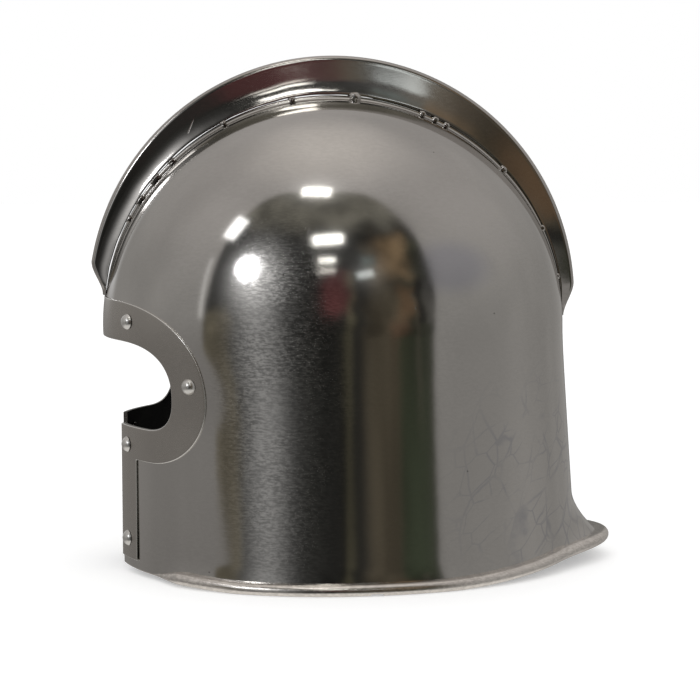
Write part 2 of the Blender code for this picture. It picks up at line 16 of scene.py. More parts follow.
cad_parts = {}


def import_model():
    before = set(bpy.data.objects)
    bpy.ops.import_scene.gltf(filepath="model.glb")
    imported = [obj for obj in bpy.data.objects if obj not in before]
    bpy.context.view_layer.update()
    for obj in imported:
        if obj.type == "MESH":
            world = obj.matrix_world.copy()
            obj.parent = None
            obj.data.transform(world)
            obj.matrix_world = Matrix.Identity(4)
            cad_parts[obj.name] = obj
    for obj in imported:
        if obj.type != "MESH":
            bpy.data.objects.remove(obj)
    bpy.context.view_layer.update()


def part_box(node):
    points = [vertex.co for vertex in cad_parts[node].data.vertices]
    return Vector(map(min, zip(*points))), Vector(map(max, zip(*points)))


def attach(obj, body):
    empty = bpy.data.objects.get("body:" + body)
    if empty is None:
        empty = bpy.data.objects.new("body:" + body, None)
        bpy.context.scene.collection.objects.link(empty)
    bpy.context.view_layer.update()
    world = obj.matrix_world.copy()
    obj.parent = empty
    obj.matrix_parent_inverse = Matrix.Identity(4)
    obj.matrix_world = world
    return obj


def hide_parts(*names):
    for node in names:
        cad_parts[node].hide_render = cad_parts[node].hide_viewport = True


LOG = logging.getLogger("barbute")
MM = 0.001
BODY = "root"
QUARTER = math.pi / 2
MERGE_DISTANCE = 0.004 * MM
# Nearly all of a Noise texture's values lie between these
NOISE_RANGE = (0.3, 0.7)

Colour = tuple[float, float, float]
Source = Union[bpy.types.NodeSocket, float, tuple]


class Slot(Enum):
    """The record's material slots."""

    SKULL = "polished_steel"
    COMB = "comb_steel"
    BAND = "satin_steel"
    RIVET = "rivet_steel"


class End(Enum):
    """The two halves of the upright wall, and which way each lies from the dome's axis."""

    FRONT = -1.0
    BACK = 1.0


class Face(Enum):
    """The surfaces that a row of the skull's mesh can lie on."""

    OUTER_WALL = "outer wall"
    OUTER_DOME = "outer dome"
    ROLL = "roll"
    INNER_WALL = "inner wall"
    INNER_DOME = "inner dome"


def smooth(share: float) -> float:
    """An even ramp from 0 to 1 that starts and ends level."""
    share = min(max(share, 0.0), 1.0)
    return share * share * (3.0 - 2.0 * share)


def mix(low: float, high: float, share: float) -> float:
    """The value at a share of the way from low to high."""
    return low + (high - low) * share


def steps(count: int, power: float = 1.0) -> list[float]:
    """Shares from 0 to 1 in count steps, closer together near 0 where power is over 1."""
    return [(step / count) ** power for step in range(count + 1)]


@dataclass(frozen=True)
class SkullForm:
    """The law of the skull's outside, with its wall, dome, middle ridge and spread tail."""

    sheet: float = 1.5 * MM
    half_width: float = 98.0 * MM
    front_reach: float = 126.0 * MM
    back_reach: float = 129.3 * MM
    dome_level: float = 132.4 * MM
    dome_rise: float = 124.4 * MM
    cheek_level: float = 81.0 * MM
    cheek_set_back: float = 6.9 * MM
    back_spread: float = 9.8 * MM
    back_spread_ease: float = 0.08
    roll_radius: float = 3.3 * MM
    worn_flat: float = 0.5 * MM
    fade_start: float = 0.70
    fade_end: float = 0.84
    front_rim: tuple[float, float, float] = (0.45, 3.7 * MM, 1.1)
    back_rim: tuple[float, float, float] = (0.35, 9.3 * MM, 1.7)
    tail_half_angle: float = math.radians(31.0)
    side_flare: float = 0.6 * MM
    side_flare_height: float = 12.0 * MM
    tail_flare: float = 15.3 * MM
    tail_flare_height: float = 28.0 * MM
    seam_half_width: float = 6.1 * MM
    seam_end_half_width: float = 3.3 * MM
    ridge_rise: float = 2.1 * MM
    cove: float = 2.2 * MM
    ridge_start: float = math.radians(7.0)
    ridge_end: float = math.radians(178.0)
    ridge_power: float = 0.6
    axis_y: float = 0.0

    @property
    def middle(self) -> Vector:
        """The middle of the dome's level foot."""
        return Vector((0.0, self.axis_y, self.dome_level))

    def roll_fade(self, cosine: float, end: End) -> float:
        """1 where the rim is rolled, falling to 0 where the front edge is left plain."""
        if end is End.BACK:
            return 1.0
        return 1.0 - smooth((cosine - self.fade_start) / (self.fade_end - self.fade_start))

    def tail(self, cosine: float, end: End) -> float:
        """How much of the tail's spread there is at this place on the rim."""
        if end is End.FRONT:
            return 0.0
        return smooth(1.0 - math.acos(min(cosine, 1.0)) / self.tail_half_angle)

    def rim_height(self, cosine: float, end: End) -> float:
        """The rim's lowest point above the floor."""
        start, rise, power = self.front_rim if end is End.FRONT else self.back_rim
        return rise * (max(cosine - start, 0.0) / (1.0 - start)) ** power

    def sheet_end(self, cosine: float, end: End) -> float:
        """The height at which the sheet's flare is full."""
        centre = (self.roll_radius - self.worn_flat) * self.roll_fade(cosine, end)
        return self.rim_height(cosine, end) + centre

    def reach(self, height: float, end: End) -> float:
        """The wall's reach from the dome's axis at this height."""
        drop = self.dome_level - height
        if end is End.FRONT:
            ramp = smooth(drop / (self.dome_level - self.cheek_level))
            return self.front_reach - self.cheek_set_back * ramp
        share = max(drop, 0.0) / self.dome_level
        ease = self.back_spread_ease
        return self.back_reach + self.back_spread * (math.hypot(share, ease) - ease)

    def outward(self, side: float, height: float, end: End) -> Vector:
        """The level direction square to the wall."""
        reach = self.reach(height, end)
        direction = Vector((math.sin(side) / self.half_width, end.value * math.cos(side) / reach, 0.0))
        return direction.normalized()

    def wall(self, side: float, height: float, end: End) -> Vector:
        """A point on the outside of the wall.

        Args:
            side: the side angle, 0 in the middle plane and a right angle beside it.
            height: the height above the floor.
            end: the half of the wall.

        Returns:
            The point.
        """
        cosine = max(math.cos(side), 0.0)
        along = end.value * self.reach(height, end) * cosine
        point = Vector((self.half_width * math.sin(side), self.axis_y + along, height))
        spread = self.tail(cosine, end)
        flare = mix(self.side_flare * self.roll_fade(cosine, end), self.tail_flare, spread)
        flare_height = mix(self.side_flare_height, self.tail_flare_height, spread)
        above = (height - self.sheet_end(cosine, end)) / flare_height
        return point + self.outward(side, height, end) * flare * max(1.0 - above, 0.0) ** 2

    def along(self, turn: float) -> float:
        """The share of the raised middle's length that lies ahead of this turn."""
        return min(max((turn - self.ridge_start) / (self.ridge_end - self.ridge_start), 0.0), 1.0)

    def arch(self, turn: float) -> float:
        """How full the raised middle is: 0 at its two ends, 1 at the crown."""
        return math.sin(math.pi * self.along(turn)) ** self.ridge_power

    def seam(self, turn: float) -> float:
        """The weld line's distance from the middle plane, which grows with the comb's height."""
        return mix(self.seam_end_half_width, self.seam_half_width, math.sin(math.pi * self.along(turn)))

    def ridge(self, turn: float, across: float) -> float:
        """How far the skull's middle is raised there: level to the weld line, then down in a cove."""
        out = min(max(across - self.seam(turn), 0.0) / self.cove, 1.0)
        return self.ridge_rise * self.arch(turn) * (1.0 - math.sqrt(1.0 - (1.0 - out) ** 2))

    def dome(self, side: float, turn: float) -> Vector:
        """A point on the outside of the dome."""
        reach = self.front_reach if math.cos(turn) > 0.0 else self.back_reach
        inward = max(math.cos(side), 0.0)
        across = self.half_width * math.sin(side)
        level = Vector((0.0, -reach * math.cos(turn), self.dome_rise * math.sin(turn)))
        raised = level * inward + level.normalized() * self.ridge(turn, across)
        return Vector((across, self.axis_y + raised.y, self.dome_level + raised.z))

    def dome_normal(self, side: float, turn: float) -> Vector:
        """The dome's outward direction, without its ridge."""
        reach = self.front_reach if math.cos(turn) > 0.0 else self.back_reach
        inward = max(math.cos(side), 0.0)
        return Vector(
            (
                math.sin(side) / self.half_width,
                -math.cos(turn) * inward / reach,
                math.sin(turn) * inward / self.dome_rise,
            )
        ).normalized()

    def front(self, across: float, height: float) -> Vector:
        """A point on the outside of the front, by its distance from the middle plane and its height."""
        side = math.asin(min(across / self.half_width, 1.0))
        if height <= self.dome_level:
            return self.wall(side, height, End.FRONT)
        rise = (height - self.dome_level) / (self.dome_rise * math.cos(side))
        return self.dome(side, math.asin(rise))

    def front_normal(self, across: float, height: float) -> Vector:
        """The front's outward direction there, from two short steps over the surface."""
        step = 0.5 * MM
        sideways = self.front(across + step, height) - self.front(across - step, height)
        upward = self.front(across, height + step) - self.front(across, height - step)
        return sideways.cross(upward).normalized()

    def across_at(self, forward: float, height: float) -> float:
        """How far from the middle plane the front's outside is, this far ahead of the dome's axis."""
        above = max(height - self.dome_level, 0.0) / self.dome_rise
        share = 1.0 - (forward / self.reach(height, End.FRONT)) ** 2 - above**2
        return self.half_width * math.sqrt(max(share, 0.0))


class Bench:
    """Small jobs with Blender's operators, each on one object."""

    @staticmethod
    def clear_selection() -> None:
        """Leaves nothing selected."""
        bpy.ops.object.select_all(action="DESELECT")

    @staticmethod
    def pick(obj: bpy.types.Object) -> None:
        """Selects one object alone and makes it the active one."""
        Bench.clear_selection()
        obj.select_set(True)
        bpy.context.view_layer.objects.active = obj

    @staticmethod
    def edit(obj: bpy.types.Object, *jobs: Callable[[], object]) -> None:
        """Runs operators in edit mode with the whole mesh selected.

        Args:
            obj: the mesh object.
            jobs: the operators' calls, in order.
        """
        Bench.pick(obj)
        bpy.ops.object.mode_set(mode="EDIT")
        bpy.ops.mesh.select_all(action="SELECT")
        for job in jobs:
            job()
        bpy.ops.object.mode_set(mode="OBJECT")

    @staticmethod
    def merge(obj: bpy.types.Object) -> None:
        """Joins points that lie together and turns the faces outward."""
        Bench.edit(
            obj,
            lambda: bpy.ops.mesh.remove_doubles(threshold=MERGE_DISTANCE),
            lambda: bpy.ops.mesh.normals_make_consistent(inside=False),
        )

    @staticmethod
    def modify(obj: bpy.types.Object, kind: str, **settings: object) -> None:
        """Adds a modifier and applies it."""
        Bench.pick(obj)
        modifier = obj.modifiers.new(kind.title(), kind)
        for name, value in settings.items():
            setattr(modifier, name, value)
        bpy.ops.object.modifier_apply(modifier=modifier.name)

    @staticmethod
    def turn_outward(strip: bpy.types.Object, middle: Vector) -> None:
        """Turns an open strip's faces away from a middle point, before the sheet gets its thickness."""
        outward = sum(face.normal.dot(face.center - middle) for face in strip.data.polygons)
        if outward < 0.0:
            Bench.edit(strip, bpy.ops.mesh.flip_normals)

    @staticmethod
    def cut(obj: bpy.types.Object, cutter: bpy.types.Object) -> None:
        """Takes the cutter's shape out of the object and removes the cutter."""
        Bench.modify(obj, "BOOLEAN", operation="DIFFERENCE", solver="EXACT", object=cutter)
        bpy.data.objects.remove(cutter)

    @staticmethod
    def shade(obj: bpy.types.Object, angle: float = math.radians(35.0)) -> None:
        """Shades the object smooth, with sharp edges over the angle."""
        Bench.pick(obj)
        bpy.ops.object.shade_smooth_by_angle(angle=angle)

    @staticmethod
    def join(parts: Sequence[bpy.types.Object], name: str) -> bpy.types.Object:
        """Joins several objects into the first, under one name."""
        Bench.clear_selection()
        for part in parts:
            part.select_set(True)
        bpy.context.view_layer.objects.active = parts[0]
        bpy.ops.object.join()
        parts[0].name = name
        return parts[0]

    @staticmethod
    def bent_grid(
        name: str, rows: int, columns: int, place: Callable[[int, int], Vector]
    ) -> bpy.types.Object:
        """A grid primitive bent to a surface.

        Args:
            name: the object's name.
            rows: how many rows of points there are.
            columns: how many points a row has.
            place: gives the place of the point in a row and column.

        Returns:
            The new object, at the origin.
        """
        Bench.clear_selection()
        bpy.ops.mesh.primitive_grid_add(x_subdivisions=rows - 1, y_subdivisions=columns - 1, size=1.0)
        obj = bpy.context.active_object
        obj.name = name
        for vert in obj.data.vertices:
            row = round((vert.co.x + 0.5) * (rows - 1))
            column = round((vert.co.y + 0.5) * (columns - 1))
            vert.co = place(row, column)
        return obj

    @staticmethod
    def prism(name: str, outline: Sequence[Vector], along: Vector) -> bpy.types.Object:
        """A flat outline pushed along a direction.

        Args:
            name: the object's name.
            outline: the outline's points, in order.
            along: the way and distance to push it.

        Returns:
            The closed prism.
        """
        Bench.clear_selection()
        bpy.ops.mesh.primitive_circle_add(vertices=len(outline), radius=1.0, fill_type="NGON")
        obj = bpy.context.active_object
        obj.name = name
        for vert, point in zip(obj.data.vertices, outline):
            vert.co = point
        Bench.edit(
            obj,
            lambda: bpy.ops.mesh.extrude_region_move(TRANSFORM_OT_translate={"value": tuple(along)}),
        )
        Bench.merge(obj)
        return obj

    @staticmethod
    def box(name: str, low: Vector, high: Vector) -> bpy.types.Object:
        """A box between two corners, with its place in its mesh."""
        Bench.clear_selection()
        bpy.ops.mesh.primitive_cube_add(size=1.0, location=(low + high) / 2)
        obj = bpy.context.active_object
        obj.name = name
        obj.scale = high - low
        bpy.ops.object.transform_apply(location=True, rotation=True, scale=True)
        return obj

    @staticmethod
    def lathe(name: str, profile: Sequence[tuple[float, float]], sides: int) -> bpy.types.Object:
        """Turns a profile about Z by pulling rings up from a circle, one for each point.

        Args:
            name: the object's name.
            profile: (radius, height) points from the bottom up, the first and last near the axis.
            sides: how many sides the turned shape has.

        Returns:
            The closed shape.
        """
        Bench.clear_selection()
        radius, height = profile[0]
        bpy.ops.mesh.primitive_circle_add(
            vertices=sides, radius=radius, location=(0.0, 0.0, height), fill_type="NGON"
        )
        obj = bpy.context.active_object
        obj.name = name
        bpy.ops.object.transform_apply(location=True)
        bpy.ops.object.mode_set(mode="EDIT")
        bpy.ops.mesh.select_all(action="SELECT")
        for new_radius, new_height in profile[1:]:
            bpy.ops.mesh.extrude_region_move(
                TRANSFORM_OT_translate={"value": (0.0, 0.0, new_height - height)}
            )
            scale = new_radius / radius
            bpy.ops.transform.resize(value=(scale, scale, 1.0), center_override=(0.0, 0.0, new_height))
            radius, height = new_radius, new_height
        bpy.ops.mesh.select_all(action="SELECT")
        bpy.ops.mesh.normals_make_consistent(inside=False)
        bpy.ops.object.mode_set(mode="OBJECT")
        return obj


class Graph:
    """A node tree that is being filled."""

    def __init__(self, tree: bpy.types.NodeTree) -> None:
        """Starts with an empty tree."""
        self.tree = tree
        tree.nodes.clear()

    def feed(self, socket: bpy.types.NodeSocket, source: Source) -> None:
        """Links a socket to another one, or sets its value."""
        if isinstance(source, bpy.types.NodeSocket):
            self.tree.links.new(source, socket)
        else:
            socket.default_value = source

    def node(self, kind: str, inputs: Optional[dict] = None, **settings: object) -> bpy.types.Node:
        """Adds a node.

        Args:
            kind: the node's type.
            inputs: what each input takes, by its name or number.
            settings: the node's own settings.

        Returns:
            The node.
        """
        node = self.tree.nodes.new(kind)
        for name, value in settings.items():
            setattr(node, name, value)
        for name, source in (inputs or {}).items():
            self.feed(node.inputs[name], source)
        return node

    def math(self, operation: str, *sources: Source) -> bpy.types.NodeSocket:
        """Adds a Math node and gives its value."""
        node = self.node("ShaderNodeMath", dict(enumerate(sources)), operation=operation)
        return node.outputs[0]

    def vector(self, operation: str, *sources: Source, output: str = "Vector") -> bpy.types.NodeSocket:
        """Adds a Vector Math node and gives one of its outputs."""
        node = self.node("ShaderNodeVectorMath", dict(enumerate(sources)), operation=operation)
        return node.outputs[output]

    def total(self, *sources: Source) -> bpy.types.NodeSocket:
        """The sum of several values."""
        result = sources[0]
        for source in sources[1:]:
            result = self.math("ADD", result, source)
        return result

    def ramp(
        self, value: Source, low: float, high: float, start: float = 0.0, stop: float = 1.0
    ) -> bpy.types.NodeSocket:
        """Maps a value from low..high to start..stop with eased ends, and gives the result."""
        inputs = {0: value, 1: low, 2: high, 3: start, 4: stop}
        node = self.node("ShaderNodeMapRange", inputs, interpolation_type="SMOOTHSTEP")
        return node.outputs[0]

    def noise(
        self, vector: Source, scale: float, detail: float = 2.0, roughness: float = 0.5
    ) -> bpy.types.NodeSocket:
        """A Noise texture's value, about 0 to 1."""
        inputs = {"Vector": vector, "Scale": scale, "Detail": detail, "Roughness": roughness}
        return self.node("ShaderNodeTexNoise", inputs).outputs[0]

    def mapped(
        self, vector: Source, scale: Sequence[float], turn: Sequence[float] = (0.0, 0.0, 0.0)
    ) -> bpy.types.NodeSocket:
        """A vector turned and then stretched, for patterns longer one way than another."""
        turned = self.node("ShaderNodeMapping", {"Vector": vector, "Rotation": Euler(turn)})
        inputs = {"Vector": turned.outputs[0], "Scale": tuple(scale)}
        return self.node("ShaderNodeMapping", inputs).outputs[0]

    def scaled(self, vector: Source, scale: Source) -> bpy.types.NodeSocket:
        """A vector or a colour times a value."""
        inputs = {0: vector, "Scale": scale}
        return self.node("ShaderNodeVectorMath", inputs, operation="SCALE").outputs[0]

    def blend(self, share: Source, low: Source, high: Source) -> bpy.types.NodeSocket:
        """Mixes two colours, through the Mix node's colour sockets."""
        node = self.node("ShaderNodeMix", {0: share, 6: low, 7: high}, data_type="RGBA")
        return node.outputs[2]


class NodeGroups:
    """The shader node groups of the steel finishes, each built once."""

    VEIN_RUNS = (((1.0, 1.0, 0.55), (0.2, 0.3, 0.5)), ((1.9, 1.5, 1.0), (0.9, 0.2, 1.3)))
    SCRATCH_TURNS = ((0.55, 0.1, 0.2), (-0.35, 0.15, 0.9))
    SCRATCH_STRETCH = (85.0, 85.0, 620.0)
    BRUSH_STRETCH = (260.0, 260.0, 1050.0)
    CROSSING_STRETCH = (430.0, 380.0, 900.0)
    CROSSING_TURN = (0.5, 0.9, 0.3)
    VEIN_WANDER = 0.0035

    @staticmethod
    def start(name: str, inputs: dict[str, float]) -> tuple[Graph, bpy.types.Node, bpy.types.Node]:
        """Makes an empty group with a Vector input and the named values.

        Args:
            name: the group's name.
            inputs: the default of each value input.

        Returns:
            The group's graph, its input node and its output node.
        """
        tree = bpy.data.node_groups.new(name, "ShaderNodeTree")
        graph = Graph(tree)
        tree.interface.new_socket("Vector", in_out="INPUT", socket_type="NodeSocketVector")
        for label, default in inputs.items():
            socket = tree.interface.new_socket(label, in_out="INPUT", socket_type="NodeSocketFloat")
            socket.default_value = default
        return graph, graph.node("NodeGroupInput"), graph.node("NodeGroupOutput")

    @staticmethod
    def finish(graph: Graph, outputs: bpy.types.Node, values: dict[str, bpy.types.NodeSocket]) -> None:
        """Gives the group its outputs."""
        for label, source in values.items():
            graph.tree.interface.new_socket(label, in_out="OUTPUT", socket_type="NodeSocketFloat")
            graph.tree.links.new(source, outputs.inputs[label])

    @staticmethod
    def hammered() -> bpy.types.NodeTree:
        """Broad waves and shallow hammer marks left under the polish, as a height in metres."""
        name = "hammered_sheet"
        if name in bpy.data.node_groups:
            return bpy.data.node_groups[name]
        graph, inputs, outputs = NodeGroups.start(name, {"Waves": 0.1 * MM, "Marks": 0.01 * MM})
        vector = inputs.outputs["Vector"]
        broad = graph.math("SUBTRACT", graph.noise(vector, 15.0, 1.0), 0.5)
        marks = graph.math("SUBTRACT", graph.noise(vector, 75.0, 2.0), 0.5)
        waves = graph.math("MULTIPLY", broad, inputs.outputs["Waves"])
        dents = graph.math("MULTIPLY", marks, inputs.outputs["Marks"])
        NodeGroups.finish(graph, outputs, {"Height": graph.total(waves, dents)})
        return graph.tree

    @staticmethod
    def brushed() -> bpy.types.NodeTree:
        """Fine level brush lines with a few crossing ones, as a height and as a mask of lines."""
        name = "brushed_grain"
        if name in bpy.data.node_groups:
            return bpy.data.node_groups[name]
        graph, inputs, outputs = NodeGroups.start(name, {"Depth": 0.002 * MM})
        vector = inputs.outputs["Vector"]
        level = graph.noise(graph.mapped(vector, NodeGroups.BRUSH_STRETCH), 1.0, 4.0, 0.7)
        turned = graph.mapped(vector, NodeGroups.CROSSING_STRETCH, NodeGroups.CROSSING_TURN)
        crossing = graph.noise(turned, 1.0, 2.0, 0.6)
        lines = graph.math("MULTIPLY_ADD", crossing, 0.5, level)
        centred = graph.math("SUBTRACT", lines, 0.75)
        height = graph.math("MULTIPLY", centred, inputs.outputs["Depth"])
        NodeGroups.finish(graph, outputs, {"Height": height, "Lines": graph.ramp(lines, 0.60, 0.90)})
        return graph.tree

    @staticmethod
    def scratches() -> bpy.types.NodeTree:
        """Short fine scratches that lie two ways, as a mask."""
        name = "short_scratches"
        if name in bpy.data.node_groups:
            return bpy.data.node_groups[name]
        graph, inputs, outputs = NodeGroups.start(name, {"Reach": 0.12})
        vector = inputs.outputs["Vector"]
        mask: Source = 0.0
        for turn in NodeGroups.SCRATCH_TURNS:
            stretched = graph.mapped(vector, NodeGroups.SCRATCH_STRETCH, turn)
            cells = graph.node("ShaderNodeTexVoronoi", {"Vector": stretched})
            near = graph.math("DIVIDE", cells.outputs["Distance"], inputs.outputs["Reach"])
            mask = graph.math("MAXIMUM", mask, graph.ramp(near, 0.45, 1.0, 1.0, 0.0))
        NodeGroups.finish(graph, outputs, {"Mask": mask})
        return graph.tree

    @staticmethod
    def tarnish() -> bpy.types.NodeTree:
        """Branching veins and fine pits, as two shares."""
        name = "tarnish"
        if name in bpy.data.node_groups:
            return bpy.data.node_groups[name]
        graph, inputs, outputs = NodeGroups.start(name, {"Vein Scale": 48.0, "Pit Scale": 45.0})
        vector = inputs.outputs["Vector"]
        wander = graph.node("ShaderNodeTexNoise", {"Vector": vector, "Scale": 70.0, "Detail": 3.0})
        bend = graph.vector("MULTIPLY", wander.outputs["Color"], (NodeGroups.VEIN_WANDER,) * 3)
        bent = graph.vector("ADD", vector, bend)
        veins: Source = 0.0
        for stretch, turn in NodeGroups.VEIN_RUNS:
            cells = graph.node(
                "ShaderNodeTexVoronoi",
                {"Vector": graph.mapped(bent, stretch, turn), "Scale": inputs.outputs["Vein Scale"]},
                feature="DISTANCE_TO_EDGE",
            )
            line = graph.ramp(cells.outputs["Distance"], 0.0, 0.042, 1.0, 0.0)
            veins = graph.math("MAXIMUM", veins, line)
        broken = graph.ramp(graph.noise(vector, 38.0, 3.0), 0.36, 0.56)
        veins = graph.math("MULTIPLY", veins, broken)
        dots = graph.node(
            "ShaderNodeTexVoronoi", {"Vector": vector, "Scale": inputs.outputs["Pit Scale"]}
        )
        small = graph.ramp(dots.outputs["Distance"], 0.012, 0.024, 1.0, 0.0)
        NodeGroups.finish(graph, outputs, {"Veins": veins, "Pits": small})
        return graph.tree


@dataclass(frozen=True)
class Patch:
    """A soft round region of the surface."""

    centre: Vector
    radius: float
    stretch: Vector = Vector((1.0, 1.0, 1.0))
    core: float = 0.35

    def mask(self, graph: Graph, vector: Source) -> bpy.types.NodeSocket:
        """1 in the middle of the patch, falling to 0 at its radius."""
        offset = graph.vector("SUBTRACT", vector, self.centre)
        stretched = graph.vector("MULTIPLY", offset, self.stretch)
        length = graph.vector("LENGTH", stretched, output="Value")
        return graph.ramp(length, self.radius * self.core, self.radius, 1.0, 0.0)


@dataclass(frozen=True)
class Stroke:
    """One long thin scratch, from end to end."""

    start: Vector
    end: Vector
    width: float
    flatten: Vector = Vector((0.15, 1.0, 1.0))
    core: float = 0.4

    def mask(self, graph: Graph, vector: Source) -> bpy.types.NodeSocket:
        """1 on the scratch, falling to 0 at its width, with the sideways distance flattened."""
        run = self.end - self.start
        offset = graph.vector("SUBTRACT", vector, self.start)
        flat = graph.vector("MULTIPLY", offset, self.flatten)
        along = graph.vector("DOT_PRODUCT", flat, run, output="Value")
        share = graph.node(
            "ShaderNodeClamp", {0: graph.math("DIVIDE", along, run.length_squared), 1: 0.0, 2: 1.0}
        ).outputs[0]
        away = graph.vector("DISTANCE", flat, graph.scaled(run, share), output="Value")
        return graph.ramp(away, self.width * self.core, self.width, 1.0, 0.0)


@dataclass(frozen=True)
class Wear:
    """The masks that a finish's colour, roughness and relief share."""

    grain: bpy.types.NodeSocket
    worked: bpy.types.NodeSocket
    brushed: bpy.types.Node
    scratched: bpy.types.NodeSocket
    smudges: bpy.types.NodeSocket
    scuffs: bpy.types.NodeSocket
    veins: bpy.types.NodeSocket
    pits: bpy.types.NodeSocket


@dataclass(frozen=True)
class Steel:
    """A steel finish, from mirror polish to satin."""

    name: str
    colour: Colour
    bright: float
    dull: float
    waves: float
    marks: float
    grain: float
    grain_share: float = 1.0
    grain_contrast: float = 0.25
    scratch_reach: float = 0.0
    scratch_roughness: float = 0.7
    pitted: bool = False
    worked: Sequence[Patch] = ()
    veins: Sequence[Patch] = ()
    smudges: Sequence[Patch] = ()
    scuffs: Sequence[Patch] = ()
    spots: Sequence[Patch] = ()
    strokes: Sequence[Stroke] = ()
    vein_colour: Colour = (0.40, 0.405, 0.44)
    smudge_colour: Colour = (0.36, 0.37, 0.47)

    GRAIN_PATCHES = 26.0
    GRAIN_RANGE = (0.32, 0.62, 0.45, 1.0)
    TONE_PATCHES = 9.0
    TONE_RANGE = (0.95, 1.05)
    VEIN_STRENGTH = 0.6
    SMUDGE_STRENGTH = 0.42
    PIT_STRENGTH = 0.75
    PIT_COLOUR = (0.06, 0.055, 0.05)
    LINE_DULLS = 0.40
    WORK_DULLS = 0.10
    VEIN_DULLS = 0.4
    SMUDGE_DULLS = 0.3
    SCUFF_DULLS = 0.5
    FULLY_DULL = 1.3
    SCRATCH_DEPTH = 0.02 * MM
    PIT_DEPTH = 0.05 * MM

    @staticmethod
    def group(graph: Graph, tree: bpy.types.NodeTree, vector: Source, **values: Source) -> bpy.types.Node:
        """Places a node group, with the object's coordinates and its own values."""
        node = graph.node("ShaderNodeGroup", node_tree=tree)
        graph.feed(node.inputs["Vector"], vector)
        for name, value in values.items():
            graph.feed(node.inputs[name], value)
        return node

    def material(self) -> bpy.types.Material:
        """Builds the finish's material."""
        material = bpy.data.materials.new(self.name)
        material.use_nodes = True
        graph = Graph(material.node_tree)
        vector = graph.node("ShaderNodeTexCoord").outputs["Object"]
        shader = graph.node("ShaderNodeBsdfPrincipled", {"Metallic": 1.0})
        output = graph.node("ShaderNodeOutputMaterial")
        graph.feed(output.inputs["Surface"], shader.outputs[0])
        wear = self.wear(graph, vector)
        graph.feed(shader.inputs["Base Color"], self.tint(graph, vector, wear))
        graph.feed(shader.inputs["Roughness"], self.roughness(graph, wear))
        height = self.relief(graph, vector, wear)
        bump = graph.node("ShaderNodeBump", {"Height": height, "Distance": 1.0, "Strength": 1.0})
        graph.feed(shader.inputs["Normal"], bump.outputs[0])
        return material

    def wear(self, graph: Graph, vector: Source) -> Wear:
        """Where the finish is brushed, scratched, smudged and tarnished."""
        uneven = graph.ramp(graph.noise(vector, self.GRAIN_PATCHES, 3.0), *self.GRAIN_RANGE)
        worked = self.cover(graph, vector, self.worked)
        reach = graph.math("MULTIPLY_ADD", worked, 1.0 - self.grain_share, self.grain_share)
        grain = graph.math("MULTIPLY", reach, uneven)
        depth = graph.math("MULTIPLY", grain, self.grain)
        brushed = self.group(graph, NodeGroups.brushed(), vector, Depth=depth)
        scratched = self.cover(graph, vector, self.strokes)
        if self.scratch_reach > 0.0:
            scratches = self.group(graph, NodeGroups.scratches(), vector, Reach=self.scratch_reach)
            short = graph.math("MULTIPLY", scratches.outputs["Mask"], grain)
            scratched = graph.math("MAXIMUM", scratched, short)
        smudges = self.cover(graph, vector, self.smudges)
        scuffs = self.cover(graph, vector, self.scuffs)
        veins = self.cover(graph, vector, self.veins)
        pits = self.cover(graph, vector, self.spots)
        if self.pitted:
            tarnish = self.group(graph, NodeGroups.tarnish(), vector)
            veins = graph.math("MULTIPLY", veins, tarnish.outputs["Veins"])
            pits = graph.math("MAXIMUM", tarnish.outputs["Pits"], pits)
        return Wear(grain, worked, brushed, scratched, smudges, scuffs, veins, pits)

    def tint(self, graph: Graph, vector: Source, wear: Wear) -> bpy.types.NodeSocket:
        """The steel's colour, uneven and streaked, under its veins, smudges and pits."""
        patches = graph.noise(vector, self.TONE_PATCHES, 3.0)
        tone = graph.ramp(patches, *NOISE_RANGE, *self.TONE_RANGE)
        contrast = graph.math("MULTIPLY", wear.grain, self.grain_contrast)
        centred = graph.math("SUBTRACT", wear.brushed.outputs["Lines"], 0.5)
        streaked = graph.math("MULTIPLY_ADD", centred, contrast, 1.0)
        colour: Source = graph.scaled(self.colour, graph.math("MULTIPLY", tone, streaked))
        for mask, strength, stain in (
            (wear.veins, self.VEIN_STRENGTH, self.vein_colour),
            (wear.smudges, self.SMUDGE_STRENGTH, self.smudge_colour),
            (wear.pits, self.PIT_STRENGTH, self.PIT_COLOUR),
        ):
            colour = graph.blend(graph.math("MULTIPLY", mask, strength), colour, (*stain, 1.0))
        return colour

    def roughness(self, graph: Graph, wear: Wear) -> bpy.types.NodeSocket:
        """The roughness, from bright to dull with the wear, and of its own on scratches."""
        lines = graph.math("MULTIPLY", wear.brushed.outputs["Lines"], wear.grain)
        rough = graph.total(
            graph.math("MULTIPLY", lines, self.LINE_DULLS),
            graph.math("MULTIPLY", wear.worked, self.WORK_DULLS),
            graph.math("MULTIPLY", wear.veins, self.VEIN_DULLS),
            graph.math("MULTIPLY", wear.smudges, self.SMUDGE_DULLS),
            graph.math("MULTIPLY", wear.scuffs, self.SCUFF_DULLS),
        )
        polish = graph.ramp(rough, 0.0, self.FULLY_DULL, self.bright, self.dull)
        scattered = graph.math("MULTIPLY", wear.scratched, self.scratch_roughness)
        return graph.math("MAXIMUM", polish, scattered)

    def relief(self, graph: Graph, vector: Source, wear: Wear) -> bpy.types.NodeSocket:
        """The height of the hammer marks, the grain, the scratches and the pits, in metres."""
        hammered = self.group(graph, NodeGroups.hammered(), vector, Waves=self.waves, Marks=self.marks)
        return graph.total(
            hammered.outputs["Height"],
            wear.brushed.outputs["Height"],
            graph.math("MULTIPLY", wear.scratched, -self.SCRATCH_DEPTH),
            graph.math("MULTIPLY", wear.pits, -self.PIT_DEPTH),
        )

